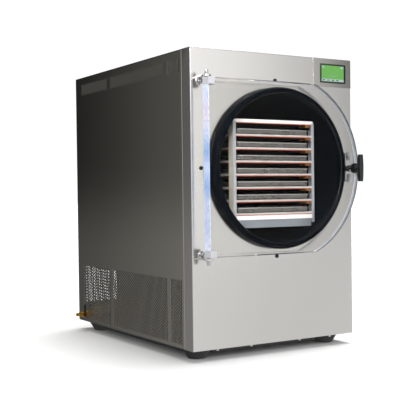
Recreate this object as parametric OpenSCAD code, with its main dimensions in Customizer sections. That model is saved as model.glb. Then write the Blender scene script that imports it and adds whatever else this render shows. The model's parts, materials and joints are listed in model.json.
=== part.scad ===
// Cabinet freeze dryer. A round steel drum with a thick clear door lies in a folded stainless cabinet.
// Heated shelves in a rack hold the trays, and the cooling machine stands below, behind punched vents.
// X is to the right, Y to the back and Z up. The origin is on the floor, under the middle of the whole box.
// Inside each module, X = 0 is the cabinet's middle, Y = 0 the front panel's face and Z = 0 the floor.

/* [Cabinet] */
// Width over the side panels
cabinet_w = 617.2; // [610:0.1:680]
// Height of the machine compartment, from the panels' lower edge to its deck
machine_h = 221; // [200:1:240]
// Distance from the deck up to the foam round the drum
cradle_h = 49.6; // [40:0.1:70]
// Height of the panels above the drum's axis
top_room = 358.2; // [345:0.1:420]
// Distance from the drum's rear end to the rear panel's face
rear_room = 89.8; // [70:0.1:160]
// Height of the panels' lower edge above the floor
base_h = 34; // [30:1:60]
// Thickness of the stainless sheet
sheet = 1.5; // [1.2:0.1:2]
// How far the front panel's four sides fold back
front_return = 50; // [40:1:60]
// Width of the inner folds along the panels' edges
fold = 14; // [10:1:18]

/* [Vents] */
// Diameter of a punched vent hole
vent_hole = 9.6; // [7:0.1:11]
// Distance between vent holes
vent_pitch = 17.5; // [15:0.5:24]
// First vent field's distance behind the front face
vent_start = 64; // [62:1:90]
// Width of the front vent field
front_field = 72; // [60:1:100]
// Width of the middle vent field
middle_field = 392; // [360:1:420]
// Width of the plain strips between the fields
vent_strip = 20; // [12:1:30]
// Plain sheet behind the rear vent field
vent_rear = 53; // [45:1:80]
// Lower vent field's distance above the panel's lower edge
vent_low = 7; // [6:1:14]
// Lower vent field's distance below the deck
vent_drop = 8; // [6:1:60]
// Height of the vent band near the top
band_h = 44; // [30:1:60]
// Plain sheet above the top band
band_drop = 24; // [20:1:40]

/* [Chamber] */
// Inner radius of the drum
drum_r = 234; // [230:0.5:236]
// Thickness of the drum's wall
drum_wall = 5; // [4:0.5:6]
// Length of the drum's straight wall behind the front face
drum_len = 680; // [650:1:690]
// How far the drum's lip stands out of the front panel
lip = 16; // [12:1:18]
// Crown radius of the dished end
crown_r = 420; // [380:5:600]
// Radius of the flange ring behind the front panel
flange_r = 290; // [285:1:294]
// Thickness of the flange ring
flange_t = 5; // [4:0.5:8]
// Radius of the circle of flange screws
bolt_r = 275; // [272:1:279]
// Radius of the gasket's round section
seal_r = 10.9; // [9:0.1:11.5]
// Thickness of the foam round the coil
foam_t = 26; // [18:1:28]
// Radius of the evaporator tube
coil_r = 5; // [4:0.5:6]
// Distance between the evaporator's turns
coil_pitch = 40; // [30:1:60]

/* [Rack] */
// Number of trays
trays = 7; // [5:1:7]
// Distance between tray levels
tray_pitch = 40.7; // [38:0.1:40.8]
// Height of the rack's top above the drum's axis
rack_rise = 152; // [142:1:155]
// Width over the rack's posts
rack_w = 311; // [300:1:316]
// Depth of the rack
rack_d = 600; // [560:1:620]
// Rack's distance behind the front face
rack_y = 18; // [10:1:30]
// Sheet of the posts
post_t = 2; // [1.5:0.1:3]
// Width of a post's front face
post_face = 10; // [8:0.5:11]
// Depth of a post's side face
post_side = 27; // [20:1:40]
// Thickness of a shelf
shelf_t = 5.4; // [3:0.1:5.5]
// Height of the bar at the rack's top
bar_h = 10; // [9:1:12]
// Height of the bar under the lowest shelf
low_bar_h = 13; // [11:1:14]
// Thickness of a heater mat
mat_t = 2.5; // [1.5:0.1:3]
// Height of a tray
tray_h = 17.5; // [15:0.5:19]
// Height of the fold round a tray's rim
rim_h = 4; // [3:0.5:5]
// Width of a tray over its rim
tray_w = 284; // [260:1:286]
// Depth of a tray over its rim
tray_d = 560; // [500:1:570]
// Sheet of a tray
tray_t = 1.2; // [0.8:0.1:1.5]
// Width of a tray's rim
rim_w = 4; // [3:0.5:6]
// Corner radius of a tray
tray_corner = 14; // [8:1:20]

/* [Door] */
// Radius of the door's round edge about the drum's axis
door_r = 286; // [284:0.5:290]
// Half the height between the door's straight edges
door_half_h = 264.5; // [262:0.5:268]
// Door's left edge, measured from the middle
door_left = 284; // [282:0.5:288]
// Thickness of the door
door_t = 32; // [25:1:36]
// Chamfer round the door's edges
door_chamfer = 1.2; // [0.5:0.1:2]
// Clearance between the closed door and the gasket
seal_gap = 0.3; // [0.2:0.1:0.5]
// Pivot's distance from the door's left edge
pivot_in = 9; // [8:0.5:10]
// Pivot's distance in front of the door's back face
pivot_out = 7; // [6.5:0.5:9]
// Radius of the pivot bolts
pivot_r = 4; // [3:0.5:4.5]
// Running clearance of pins in their holes
fit = 0.05; // [0.03:0.01:0.08]
// Width of a hinge block
block_w = 22; // [20:1:28]
// Height of a hinge block
block_h = 21; // [18:1:30]

/* [Latch] */
// Latch shaft's distance from the middle
latch_x = 266; // [264:0.5:267]
// Radius of the shaft in the door
shaft_r = 9; // [7:0.5:9]
// Length of the handle
handle_l = 86; // [70:1:110]
// Width of the handle's middle
handle_w = 16; // [14:1:20]
// How far the handle's face stands in front of the door
handle_out = 38; // [32:1:50]
// Length of the pawl from the shaft's axis
pawl_l = 34; // [31:1:36]
// Height of the keeper
keeper_h = 100; // [90:1:120]
// Width of the keeper
keeper_w = 32; // [28:1:34]
// How far the keeper stands out of the front panel
keeper_out = 20; // [20:0.5:22]

/* [Fittings] */
// Width of the plate round the screen
plate_w = 156; // [150:1:170]
// Height of the plate round the screen
plate_h = 92; // [88:1:96]
// Width of the screen
screen_w = 106; // [90:1:112]
// Height of the screen
screen_h = 62; // [50:1:66]
// Drain valve's distance from the rear face
drain_in = 71; // [70:1:80]
// Drain valve's height above the panel's lower edge
drain_up = 28; // [24:1:36]
// How far the drain valve stands out of the side panel
drain_out = 40; // [36:1:60]
// How far the vacuum port stands out of the rear panel
port_out = 28; // [24:1:40]
// Inner radius of the vacuum port
port_r = 12.5; // [10:0.5:13]
// Mains inlet's distance from the middle
inlet_x = 200; // [180:1:220]
// Power switch's distance from the middle
switch_x = 130; // [110:1:150]
// Height of the inlet and the switch above the panel's lower edge
inlet_up = 300; // [260:1:340]
// Radius of a foot at the floor
foot_r = 27; // [20:1:32]
// Radius of the fan blades
fan_r = 92; // [80:1:94]

/* [Hidden] */
$fn = 96;
eps = 0.01;
seat = 0.2;                                  // gap of round pieces that lie on each other
half_w = cabinet_w / 2;
in_w = half_w - sheet;                       // inner faces of the side panels
z0 = base_h;
z_floor = z0 + 2 * sheet;                    // top of the base's floor sheet
deck_z = z0 + machine_h;
vent_h = machine_h - vent_drop - vent_low;   // height of the lower vent fields
drum_out = drum_r + drum_wall;
crown_y = drum_len - sqrt(crown_r * crown_r - drum_r * drum_r);
drum_end = crown_y + crown_r + drum_wall;
cabinet_d = drum_end + rear_room;            // from the front panel's face to the rear panel's face
coil_in = drum_out + seat;
coil_out = coil_in + 2 * coil_r;
jacket_in = coil_out + seat;
jacket_r = jacket_in + foam_t;
axis_z = deck_z + cradle_h + jacket_r;
z_top = axis_z + top_room;
flange_back = sheet + flange_t;
seal_mid = (drum_r + drum_out) / 2 + 3.7;    // radius of the gasket's round section's centre
screw_r = 3;
screw_head = 6;
door_back = -(lip + 2.8 + seal_r + seal_gap);
seal_y = door_back + seal_gap + seal_r;
door_front = door_back - door_t;
pivot_x = -door_left + pivot_in;
pivot_y = door_back - pivot_out;
arm_gap = 3;
arm_t = 5;
arm_z = door_half_h + arm_gap;
arm_w = 26;
hinge_screw_z = door_half_h - 6.5;
handle_y = door_front - handle_out;
keeper_t = 3;
keeper_x = latch_x + 4;
keeper_z = axis_z + 4;
pawl_t = 6;
hub_t = 7;                                   // the shaft's hub in front of the door
pawl_y = -(keeper_out - keeper_t) + 0.4;     // front face of the pawl, just behind the keeper's hooks
hook_gap = 46;
rack_top = axis_z + rack_rise;
post_in = rack_w / 2 - post_t;
post_top = rack_top - 7;
mat_w = rack_w / 2 - post_face - 0.5;        // half width of a heater mat, clear of the posts
first_rim = rack_top - 28.5;
bar_z = first_rim - (trays - 1) * tray_pitch - tray_h - shelf_t - mat_t;
skirt_z = axis_z - 184;
skirt_w = sqrt(pow(drum_r - seat, 2) - pow(axis_z - skirt_z, 2));
post_low = axis_z - 172;
web_drop = 14;                               // a post's side face ends lower than its front face
tray_y = rack_y + 3;
plate_t = 1;
glass_out = 2.5;
fan_y = vent_start + front_field + vent_strip + middle_field / 2;
fan_z = z_floor + vent_h / 2;
cond_x = -in_w + fold + 1;                   // outer face of the condenser
cond_t = 40;
cond_y0 = vent_start + front_field + vent_strip;
drain_y = cabinet_d - drain_in;
drain_z = z0 + drain_up;
lever_x = -half_w - 14;
comp_x = 70;
comp_y = 430;
comp_r = 85;
comp_h = deck_z - z_floor - 60;
line_r = 4.8;
coil_y = 30;                                 // the evaporator's first turn
inlet_turn_y = coil_y + 2 * coil_pitch;
outlet_turn_y = coil_y + 8 * coil_pitch;
coil_low = axis_z - coil_out - seat;         // just under the evaporator
drier_x = -200;
drier_z = z_floor + 60;
drum_drain_y = drum_len - 42;
cradle_t = 50;                               // length of each cradle under the drum
cradle_y = [130, drum_len - 140];
inlet_z = z0 + inlet_up;
rock_a = 10;

x_off = drain_out / 2;
y_off = -(cabinet_d + port_out + handle_y) / 2;

module placed() translate([x_off, y_off, 0]) children();
module block(x0, x1, y0, y1, z_lo, z_hi) translate([x0, y0, z_lo]) cube([x1 - x0, y1 - y0, z_hi - z_lo]);
module along_y(x, y, z) translate([x, y, z]) rotate([-90, 0, 0]) children();
module along_x(x, y, z) translate([x, y, z]) rotate([0, 90, 0]) children();
module on_axis() along_y(0, 0, axis_z) children();
module both_sides() for (s = [0, 1]) mirror([s, 0, 0]) children();

// A rectangle with round corners, about its own middle.
module round_rect(w, h, r) {
    square([w - 2 * r, h], center = true);
    square([w, h - 2 * r], center = true);
    for (x = [-1, 1], y = [-1, 1]) translate([x * (w / 2 - r), y * (h / 2 - r)]) circle(r);
}

// Staggered round holes that fill a w by h field from its corner, apart from a plain disc round a spot.
module hole_field(corner, w, h, spot = [0, 0]) {
    row = vent_pitch * sqrt(3) / 2;
    rows = floor((h - vent_hole) / row) + 1;
    cols = floor((w - vent_hole) / vent_pitch) + 1;
    first = corner + [(w - (cols - 1) * vent_pitch) / 2, (h - (rows - 1) * row) / 2];
    for (j = [0:rows - 1], i = [0:cols - 1 - j % 2]) {
        place = first + [(i + (j % 2) / 2) * vent_pitch, j * row];
        if (norm(place - spot) > 18) translate(place) circle(d = vent_hole, $fn = 24);
    }
}

// ---- Base ----

// A foot with its collar, stud and nut.
module foot() {
    cylinder(h = z0 - 4, r1 = foot_r, r2 = foot_r + 19);
    translate([0, 0, z0 - 4]) cylinder(h = 4, r = foot_r + 19);
    cylinder(h = z0 + sheet, r = 15);
    cylinder(h = z_floor + 12, r = 5);
    translate([0, 0, z_floor]) cylinder(h = 8, r = 9, $fn = 6);
}

foot_x = half_w - 58.6;
foot_y = 80;
module foot_places() {
    for (x = [-1, 1], y = [foot_y, cabinet_d - foot_y]) translate([x * foot_x, y, 0]) children();
}

module feet() color("#1b1b1d") placed() foot_places() foot();

module base_pan() color("#232427") placed() {
    rail_low = z0 - 20;
    clear = foot_r + 21;
    difference() {
        block(-in_w, in_w, sheet, cabinet_d - sheet, z0 + sheet, z_floor);
        foot_places() cylinder(h = z_floor + 1, r = 5 + fit);
        hem_screw_places() cylinder(h = 10, r = 2.5);
    }
    for (y = [foot_y - 14, cabinet_d - foot_y - 14]) difference() {
        block(-foot_x + clear, foot_x - clear, y, y + 28, rail_low, z0 + sheet);
        block(-foot_x + clear + 2, foot_x - clear - 2, y + 2, y + 26, rail_low - 1, z0);
    }
    both_sides() difference() {
        block(foot_x - 2, foot_x + 22, foot_y + clear, cabinet_d - foot_y - clear, rail_low, z0 + sheet);
        block(foot_x, foot_x + 20, foot_y + clear + 2, cabinet_d - foot_y - clear - 2, rail_low - 1, z0);
    }
}

// ---- Cabinet panels ----

// The screen's middle on the front face, with Z towards the front.
module screen_place() {
    translate([half_w - plate_w / 2 + 2.7, 0, z_top - plate_h / 2 - 2.2]) rotate([90, 0, 0]) children();
}

module screen_block(w, h, y0, y1) screen_place() translate([-w / 2, -h / 2, -y1]) cube([w, h, y1 - y0]);

module front_panel() color("#c6c3bd") placed() difference() {
    inner = in_w - fold;
    union() {
        block(-half_w, half_w, 0, sheet, z0, z_top);
        block(-half_w, half_w, 0, front_return, z_top - sheet, z_top);
        block(-half_w, half_w, 0, front_return, z0, z0 + sheet);
        both_sides() block(in_w, half_w, 0, front_return, z0, z_top);
        both_sides() block(inner, in_w, front_return - sheet, front_return, z_floor, z_top - sheet);
        block(-inner, inner, front_return - sheet, front_return, z_top - fold, z_top - sheet);
    }
    on_axis() translate([0, 0, -1]) cylinder(h = sheet + 2, r = drum_out + 2);
    flange_screw_places() cylinder(h = sheet + 2, r = screw_r + fit, center = true);
    hinge_screw_places() cylinder(h = 2 * sheet + 2, r = screw_r + fit, center = true);
    screen_block(screen_w - 8, screen_h - 8, -1, sheet + 1);
    hem_screw_places() translate([0, 0, -1]) cylinder(h = sheet + 2, r = 2.5);
}

// The four screws under the front panel's lower fold.
module hem_screw_places() {
    for (x = [-218, -94, 94, 218]) translate([x / 309 * half_w, 11, z0]) children();
}

module hem_screws() color("#d8d8d6") placed() hem_screw_places() {
    translate([0, 0, -5]) cylinder(h = 5, r = 4.5);
    cylinder(h = 2 * sheet + 4, r = 2.5 - fit);
}

// The right side panel; the left one is its mirror image, with plain sheet and a hole for the drain valve.
module side_sheet(spot = [0, 0], spot_r = 1) {
    y0 = front_return;
    upper = z_top - sheet;
    middle_y = vent_start + front_field + vent_strip;
    rear_y = middle_y + middle_field + vent_strip;
    starts = [vent_start, middle_y, rear_y];
    widths = [front_field, middle_field, cabinet_d - vent_rear - rear_y];
    translate([half_w, 0, 0]) rotate([90, 0, -90]) mirror([1, 0, 0]) linear_extrude(sheet) difference() {
        translate([y0, z0]) square([cabinet_d - y0, upper - z0]);
        for (k = [0:2]) {
            hole_field([starts[k], z0 + vent_low], widths[k], vent_h, spot);
            hole_field([starts[k], z_top - band_drop - band_h], widths[k], band_h);
        }
        translate(spot) circle(spot_r);
    }
    block(in_w - fold, in_w, y0, y0 + sheet, z_floor, upper);
    block(in_w - fold, in_w, cabinet_d - 2 * sheet, cabinet_d - sheet, z_floor, upper);
    block(in_w - fold, in_w, y0, cabinet_d - sheet, upper - sheet, upper);
    block(in_w - fold, in_w, y0, cabinet_d - sheet, z0, z0 + sheet);
}

module right_side_panel() color("#8d8a83") placed() side_sheet();

module left_side_panel() color("#8d8a83") placed() mirror([1, 0, 0]) side_sheet([drain_y, drain_z], 7 + fit);

module top_panel() color("#b9b6b0") placed() {
    inner = in_w - fold - 1;
    block(-half_w, half_w, front_return, cabinet_d, z_top - sheet, z_top);
    block(-inner, inner, front_return, front_return + sheet, z_top - fold, z_top - sheet);
    block(-inner, inner, cabinet_d - 2 * sheet, cabinet_d - sheet, z_top - fold, z_top - sheet);
}

module rear_panel() color("#a5a29c") placed() difference() {
    union() {
        low = 60;
        field = (2 * (in_w - 24) - 2 * vent_strip) / 3;
        translate([0, cabinet_d, 0]) rotate([90, 0, 0]) linear_extrude(sheet) difference() {
            translate([-in_w, z0]) square([2 * in_w, z_top - sheet - z0]);
            for (k = [0:2]) {
                corner = [-in_w + 24 + k * (field + vent_strip), z0 + low];
                hole_field(corner, field, vent_h + vent_low - low);
            }
        }
        block(-in_w + fold + 1, in_w - fold - 1, cabinet_d - fold, cabinet_d, z0, z0 + sheet);
    }
    on_axis() translate([0, 0, cabinet_d - sheet - 1]) cylinder(h = sheet + 2, r = port_r + 3);
    block(inlet_x - 21, inlet_x + 21, cabinet_d - 5, cabinet_d + 5, inlet_z - 13, inlet_z + 13);
    block(switch_x - 11, switch_x + 11, cabinet_d - 5, cabinet_d + 5, inlet_z - 13, inlet_z + 13);
}

// ---- Drum ----

module flange_screw_places() {
    for (a = [0, 90, 180, 270]) on_axis() rotate([0, 0, a]) translate([bolt_r, 0, 0]) children();
}

// Half section of the dished end, filled up to its outer face grown by a gap.
module dish(r, gap) intersection() {
    translate([0, crown_y]) circle(crown_r + drum_wall + gap, $fn = 240);
    translate([0, drum_len - eps]) square([r, crown_r]);
}

module drum() color("#2c2e31") placed() difference() {
    on_axis() rotate_extrude($fn = 180) {
        translate([drum_r, -lip]) square([drum_wall, drum_len + lip]);
        translate([drum_out - 1, sheet]) square([flange_r - drum_out + 1, flange_t]);
        difference() {
            dish(drum_out, 0);
            translate([0, crown_y]) circle(crown_r, $fn = 240);
        }
    }
    flange_screw_places() translate([0, 0, -1]) cylinder(h = sheet + flange_t + 2, r = screw_r + fit);
    on_axis() translate([0, 0, drum_len]) cylinder(h = crown_r, r = port_r + 2 + fit);
    translate([0, drum_drain_y, axis_z - drum_out - 10]) cylinder(h = 30, r = 7 + fit);
}

module gasket() color("#0d0e10") placed() on_axis() rotate_extrude($fn = 180) difference() {
    union() {
        translate([seal_mid, seal_y]) circle(seal_r);
        translate([drum_r - 2.5, seal_y]) square([seal_mid + 9 - drum_r + 2.5, -seal_y]);
    }
    translate([drum_r - 0.1, -lip]) square([drum_wall + 0.2, lip + 1]);
}

module evaporator_coil() color("#b8754a") placed() {
    turns = floor((drum_len - 60) / coil_pitch);
    on_axis() for (i = [0:turns - 1]) translate([0, 0, coil_y + i * coil_pitch])
        rotate_extrude($fn = 120) translate([coil_in + coil_r, 0]) circle(coil_r, $fn = 24);
    for (a = [-110, -70]) on_axis() rotate([0, 0, a]) translate([coil_in + coil_r, 0, coil_y])
        cylinder(h = (turns - 1) * coil_pitch, r = coil_r - 0.5, $fn = 24);
}

module insulation_jacket() color("#e3d9b4") placed() difference() {
    on_axis() rotate_extrude($fn = 180) difference() {
        translate([port_r + 3, flange_back]) square([jacket_r - port_r - 3, drum_end + 22 - flange_back]);
        square([jacket_in, drum_len]);
        dish(jacket_in, seat);
    }
    line_holes();
}

// Holes for the two refrigerant lines and the drain pipe under the drum.
module line_holes() {
    for (y = [inlet_turn_y, outlet_turn_y, drum_drain_y]) translate([0, y, deck_z - 5])
        cylinder(h = axis_z - deck_z, r = 8);
}

module machine_deck() color("#9a9a98") placed() difference() {
    union() {
        y0 = front_return + 2 * sheet;
        y1 = cabinet_d - 3 * sheet;
        block(-in_w, in_w, y0, y1, deck_z, deck_z + 2);
        both_sides() block(in_w - 2, in_w, y0, y1, deck_z, deck_z + 30);
        for (y = cradle_y) difference() {
            block(-170, 170, y, y + cradle_t, deck_z + 1, axis_z - jacket_r + 60);
            on_axis() cylinder(h = 2 * cabinet_d, r = jacket_r + seat, $fn = 180);
            for (x = [-110, 60]) block(x, x + 50, y - 1, y + cradle_t + 1, deck_z + 12, deck_z + cradle_h - 15.6);
        }
    }
    line_holes();
}

// ---- Rack ----

function rim_z(i) = first_rim - (i - 1) * tray_pitch;       // top of tray i's rim, 1 at the top
function shelf_top(i) = i == 1 ? rack_top : rim_z(i - 1) - tray_h;
function shelf_low(i) = i == 1 ? rack_top - bar_h : shelf_top(i) - shelf_t;

// The outline that fits inside the four posts, as a plate from z_lo to z_hi.
module rack_plate(z_lo, z_hi) {
    block(-post_in, post_in, rack_y + post_t, rack_y + rack_d - post_t, z_lo, z_hi);
    block(-rack_w / 2 + post_face, rack_w / 2 - post_face, rack_y, rack_y + rack_d, z_lo, z_hi);
}

module shelf(i) color("#e9e8e4") placed() {
    if (i == 1) difference() {
        rack_plate(shelf_low(1), rack_top);
        block(-post_in + 2, post_in - 2, rack_y + 4, rack_y + rack_d - 4, shelf_low(1) + shelf_t, rack_top + 1);
    } else {
        rack_plate(shelf_low(i), shelf_top(i));
    }
}

module heater_mats() color("#c2401f") placed() for (i = [1:trays + 1])
    block(-mat_w, mat_w, rack_y + 1, rack_y + rack_d - 6, shelf_low(i) - mat_t, shelf_low(i));

// Taped lead of each mat with its two rivets, at the right front corner.
module heater_leads() color("#c98a2b") placed() for (i = [1:trays]) {
    translate([mat_w - 22, rack_y + 2, shelf_low(i) - mat_t]) {
        translate([0, 0, -7]) cube([22, 34, 7]);
        for (x = [6, 16]) along_y(x, -0.8, -3.5) cylinder(h = 1, r = 1.6);
    }
}

// An angle post with a sloping end on its side face and a rivet at each shelf.
module post() {
    web_top = post_top - web_drop;
    translate([post_in, 0, 0]) rotate([90, 0, 90]) linear_extrude(post_t) polygon([
        [rack_y, post_low], [rack_y + post_side, post_low], [rack_y + post_side, web_top - 8],
        [rack_y + post_side - 8, web_top], [rack_y + post_t, web_top], [rack_y, web_top]]);
    block(rack_w / 2 - post_face, rack_w / 2, rack_y, rack_y + post_t, post_low, post_top);
    for (k = [2:trays + 1]) along_x(rack_w / 2 - eps, rack_y + post_side / 2, (shelf_top(k) + shelf_low(k)) / 2)
        cylinder(h = 1.2, r1 = 3, r2 = 2.2);
}

module rack_posts() color("#f0efe9") placed() both_sides() {
    post();
    translate([0, 2 * rack_y + rack_d, 0]) mirror([0, 1, 0]) post();
}

module rack_base() color("#cfd3d8") placed() {
    difference() {
        rack_plate(bar_z - low_bar_h, bar_z);
        block(-post_in + 3, post_in - 3, rack_y + 5, rack_y + rack_d - 5, bar_z - low_bar_h - 1, bar_z - 3);
    }
    for (y = [rack_y + post_t + 1, rack_y + rack_d - post_t - 3]) {
        block(-skirt_w, skirt_w, y, y + 2, skirt_z, bar_z - 3);
    }
    both_sides() block(skirt_w - 2, skirt_w, rack_y + 4, rack_y + rack_d - 4, skirt_z, bar_z - 3);
}

// Outline of a tray, drawn in from its rim.
module tray_outline(inset) round_rect(tray_w - 2 * inset, tray_d - 2 * inset, tray_corner - inset);

// A pan with a rim that folds out and down.
module tray(i) color("#b7b4ae") placed() translate([0, tray_y + tray_d / 2, rim_z(i) - tray_h]) {
    difference() {
        linear_extrude(tray_h) tray_outline(rim_w);
        translate([0, 0, tray_t]) linear_extrude(tray_h) tray_outline(rim_w + tray_t);
    }
    translate([0, 0, tray_h - rim_h]) linear_extrude(rim_h) difference() {
        tray_outline(0);
        tray_outline(tray_t);
    }
    translate([0, 0, tray_h - tray_t]) linear_extrude(tray_t) difference() {
        tray_outline(0);
        tray_outline(rim_w + tray_t);
    }
}

// ---- Door ----

module door_slab() intersection() {
    c = door_chamfer;
    far = 2 * door_r;
    union() {
        on_axis() translate([0, 0, door_front]) {
            cylinder(h = c, r1 = door_r - c, r2 = door_r, $fn = 180);
            translate([0, 0, c]) cylinder(h = door_t - 2 * c, r = door_r, $fn = 180);
            translate([0, 0, door_t - c]) cylinder(h = c, r1 = door_r, r2 = door_r - c, $fn = 180);
        }
        block(-door_left - 1, 60, door_front, door_back, axis_z - far, axis_z + far);
    }
    translate([-far, 0, axis_z]) rotate([90, 0, 90]) linear_extrude(2 * far) polygon([
        [door_front, -door_half_h + c], [door_front + c, -door_half_h], [door_back - c, -door_half_h],
        [door_back, -door_half_h + c], [door_back, door_half_h - c], [door_back - c, door_half_h],
        [door_front + c, door_half_h], [door_front, door_half_h - c]]);
    translate([0, 0, axis_z - far]) linear_extrude(2 * far) polygon([
        [-door_left, door_front + c], [-door_left + c, door_front], [far, door_front],
        [far, door_back], [-door_left + c, door_back], [-door_left, door_back - c]]);
}

module door() color([0.82, 0.88, 0.92, 0.35]) placed() difference() {
    door_slab();
    for (s = [0, 1]) mirror_z(s) block(-door_left - 1, -door_left + block_w, door_front - 1, door_back + 1,
        axis_z + door_half_h - block_h, axis_z + door_half_h + 1);
    along_y(latch_x, door_front - 1, axis_z) cylinder(h = door_t + 2, r = shaft_r + fit);
}

module mirror_z(s) translate([0, 0, axis_z]) mirror([0, 0, s]) translate([0, 0, -axis_z]) children();

// The white block in a door corner that turns on a pivot bolt.
module hinge_block() difference() {
    top = axis_z + door_half_h;
    union() {
        block(-door_left, -door_left + block_w, door_front, door_back, top - block_h, top);
        translate([pivot_x, pivot_y, top - eps]) cylinder(h = arm_gap - 0.3 + eps, r = pivot_r + 2.5);
    }
    translate([pivot_x, pivot_y, top - block_h + 3]) cylinder(h = block_h + arm_gap, r = pivot_r + fit);
}

module hinge_blocks() color("#f4f4f2") placed() for (s = [0, 1]) mirror_z(s) hinge_block();

module hinge_screw_places() for (s = [-1, 1]) along_y(pivot_x, 0, axis_z + s * hinge_screw_z) children();

// The bent strap that holds the upper pivot bolt; the lower one is its mirror image.
module hinge_bracket() difference() {
    top = axis_z + arm_z + arm_t;
    union() {
        block(pivot_x - arm_w / 2, pivot_x + arm_w / 2, -arm_t, 0, axis_z + hinge_screw_z, top);
        along_y(pivot_x, -arm_t, axis_z + hinge_screw_z) cylinder(h = arm_t, r = arm_w / 2);
        block(pivot_x - arm_w / 2, pivot_x + arm_w / 2, pivot_y, 0, top - arm_t, top);
        translate([pivot_x, pivot_y, top - arm_t]) cylinder(h = arm_t, r = arm_w / 2);
    }
    translate([pivot_x, pivot_y, top - arm_t - 1]) cylinder(h = arm_t + 2, r = pivot_r + fit);
    along_y(pivot_x, -arm_t - 1, axis_z + hinge_screw_z) cylinder(h = arm_t + 2, r = screw_r + fit);
}

module hinge_brackets() color("#c9c9c6") placed() for (s = [0, 1]) mirror_z(s) hinge_bracket();

module pivot_bolts() color("#a9a9a6") placed() for (s = [0, 1]) mirror_z(s)
    translate([pivot_x, pivot_y, axis_z + arm_z + arm_t]) {
        cylinder(h = 2, r = 10);
        translate([0, 0, 2]) cylinder(h = 7, r = 7.5, $fn = 6);
        translate([0, 0, 9]) cylinder(h = 6, r = 5.5);
        reach = arm_t + arm_gap + block_h - 4;
        translate([0, 0, -reach]) cylinder(h = reach + 1, r = pivot_r);
    }

module hinge_screws() color("#8f8f8c") placed() hinge_screw_places() {
    translate([0, 0, -arm_t - 1.5]) cylinder(h = 1.5, r = 9);
    translate([0, 0, -arm_t - 6.5]) cylinder(h = 5, r = 5.5);
    translate([0, 0, -arm_t - 2]) cylinder(h = arm_t + sheet + 8, r = screw_r);
}

module flange_screws() color("#17181a") placed() for (a = [0, 90, 180, 270]) {
    rise = a == 0 ? keeper_t : 0;
    on_axis() rotate([0, 0, a]) translate([bolt_r, 0, -rise]) {
        translate([0, 0, -3.5]) cylinder(h = 3.5, r1 = screw_head - 1.5, r2 = screw_head);
        translate([0, 0, -1]) cylinder(h = rise + sheet + flange_t + 1, r = screw_r);
    }
}

// ---- Latch ----

// Base plate on the panel, a wall along its left edge and a raised plate with two hooks.
module latch_keeper() color("#bdbcb8") placed() difference() {
    along_y(keeper_x, -keeper_out, keeper_z) linear_extrude(keeper_out) round_rect(keeper_w, keeper_h, 12);
    block(keeper_x - keeper_w / 2 + keeper_t, keeper_x + keeper_w, -keeper_out + keeper_t, -keeper_t,
        keeper_z - keeper_h, keeper_z + keeper_h);
    block(keeper_x - keeper_w / 2 + keeper_t, keeper_x + keeper_w, -keeper_out - 1, -keeper_t,
        keeper_z - hook_gap / 2, keeper_z + hook_gap / 2);
    flange_screw_places() cylinder(h = 2 * keeper_out, r = screw_r + fit, center = true);
}

module latch_shaft() color("#202225") placed() {
    along_y(latch_x, door_front, axis_z) {
        cylinder(h = door_t, r = shaft_r);
        translate([0, 0, -0.3 - hub_t]) cylinder(h = hub_t, r = 16);
        translate([0, 0, -22]) cylinder(h = 23, r = 6);
        translate([0, 0, door_t - 1]) cylinder(h = pawl_y - door_back + 1, r = 6);
        translate([0, 0, door_t + 0.3]) cylinder(h = 4, r = 12, $fn = 6);
    }
    along_y(latch_x, pawl_y - eps, axis_z) cylinder(h = pawl_t + 1, r = 4);
}

module latch_pawl() color("#26282b") placed() difference() {
    along_y(latch_x, pawl_y, axis_z) linear_extrude(pawl_t) {
        circle(8);
        translate([0, -8]) square([pawl_l - 5, 16]);
        translate([pawl_l - 8, 0]) circle(8);
    }
    along_y(latch_x, pawl_y - 1, axis_z) cylinder(h = pawl_t + 2, r = 4 + fit);
}

// A lens-shaped bar on a round neck.
module latch_handle() color("#141518") placed() difference() {
    bar_t = 12;
    end_w = handle_w - 5;
    bow = (pow(handle_l / 2, 2) + pow((handle_w - end_w) / 2, 2)) / (handle_w - end_w);
    union() {
        along_y(latch_x, handle_y, axis_z) linear_extrude(bar_t) intersection() {
            round_rect(2 * handle_w, handle_l, 5);
            translate([bow - handle_w / 2, 0]) circle(bow, $fn = 250);
            translate([handle_w / 2 - bow, 0]) circle(bow, $fn = 250);
        }
        along_y(latch_x, handle_y + bar_t - 1, axis_z)
            cylinder(h = handle_out - bar_t - hub_t - 0.3 + 1, r1 = 7, r2 = 10);
    }
    along_y(latch_x, door_front - 22.2, axis_z) cylinder(h = 30, r = 6 + fit);
}

// ---- Screen and its plate ----

module screen_plate() color("#a19f99") placed() difference() {
    block(half_w - plate_w, half_w, -plate_t, 0, z_top - plate_h, z_top);
    screen_place() linear_extrude(20, center = true) square([screen_w, screen_h], center = true);
}

module touch_screen() color("#2a7d1e") placed() screen_place() {
    linear_extrude(glass_out) round_rect(screen_w - 0.2, screen_h - 0.2, 3);
    translate([0, 0, -12]) linear_extrude(13) square([screen_w - 10, screen_h - 10], center = true);
}

module control_box() color("#3a3f3a") placed() difference() {
    screen_block(screen_w + 16, screen_h + 10, sheet, sheet + 42);
    screen_block(screen_w + 12, screen_h + 6, 0, sheet + 40);
}

// ---- Cooling machine ----

function tube_z(k) = z_floor + 16 + k * 27;                 // heights of the condenser's tubes

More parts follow.
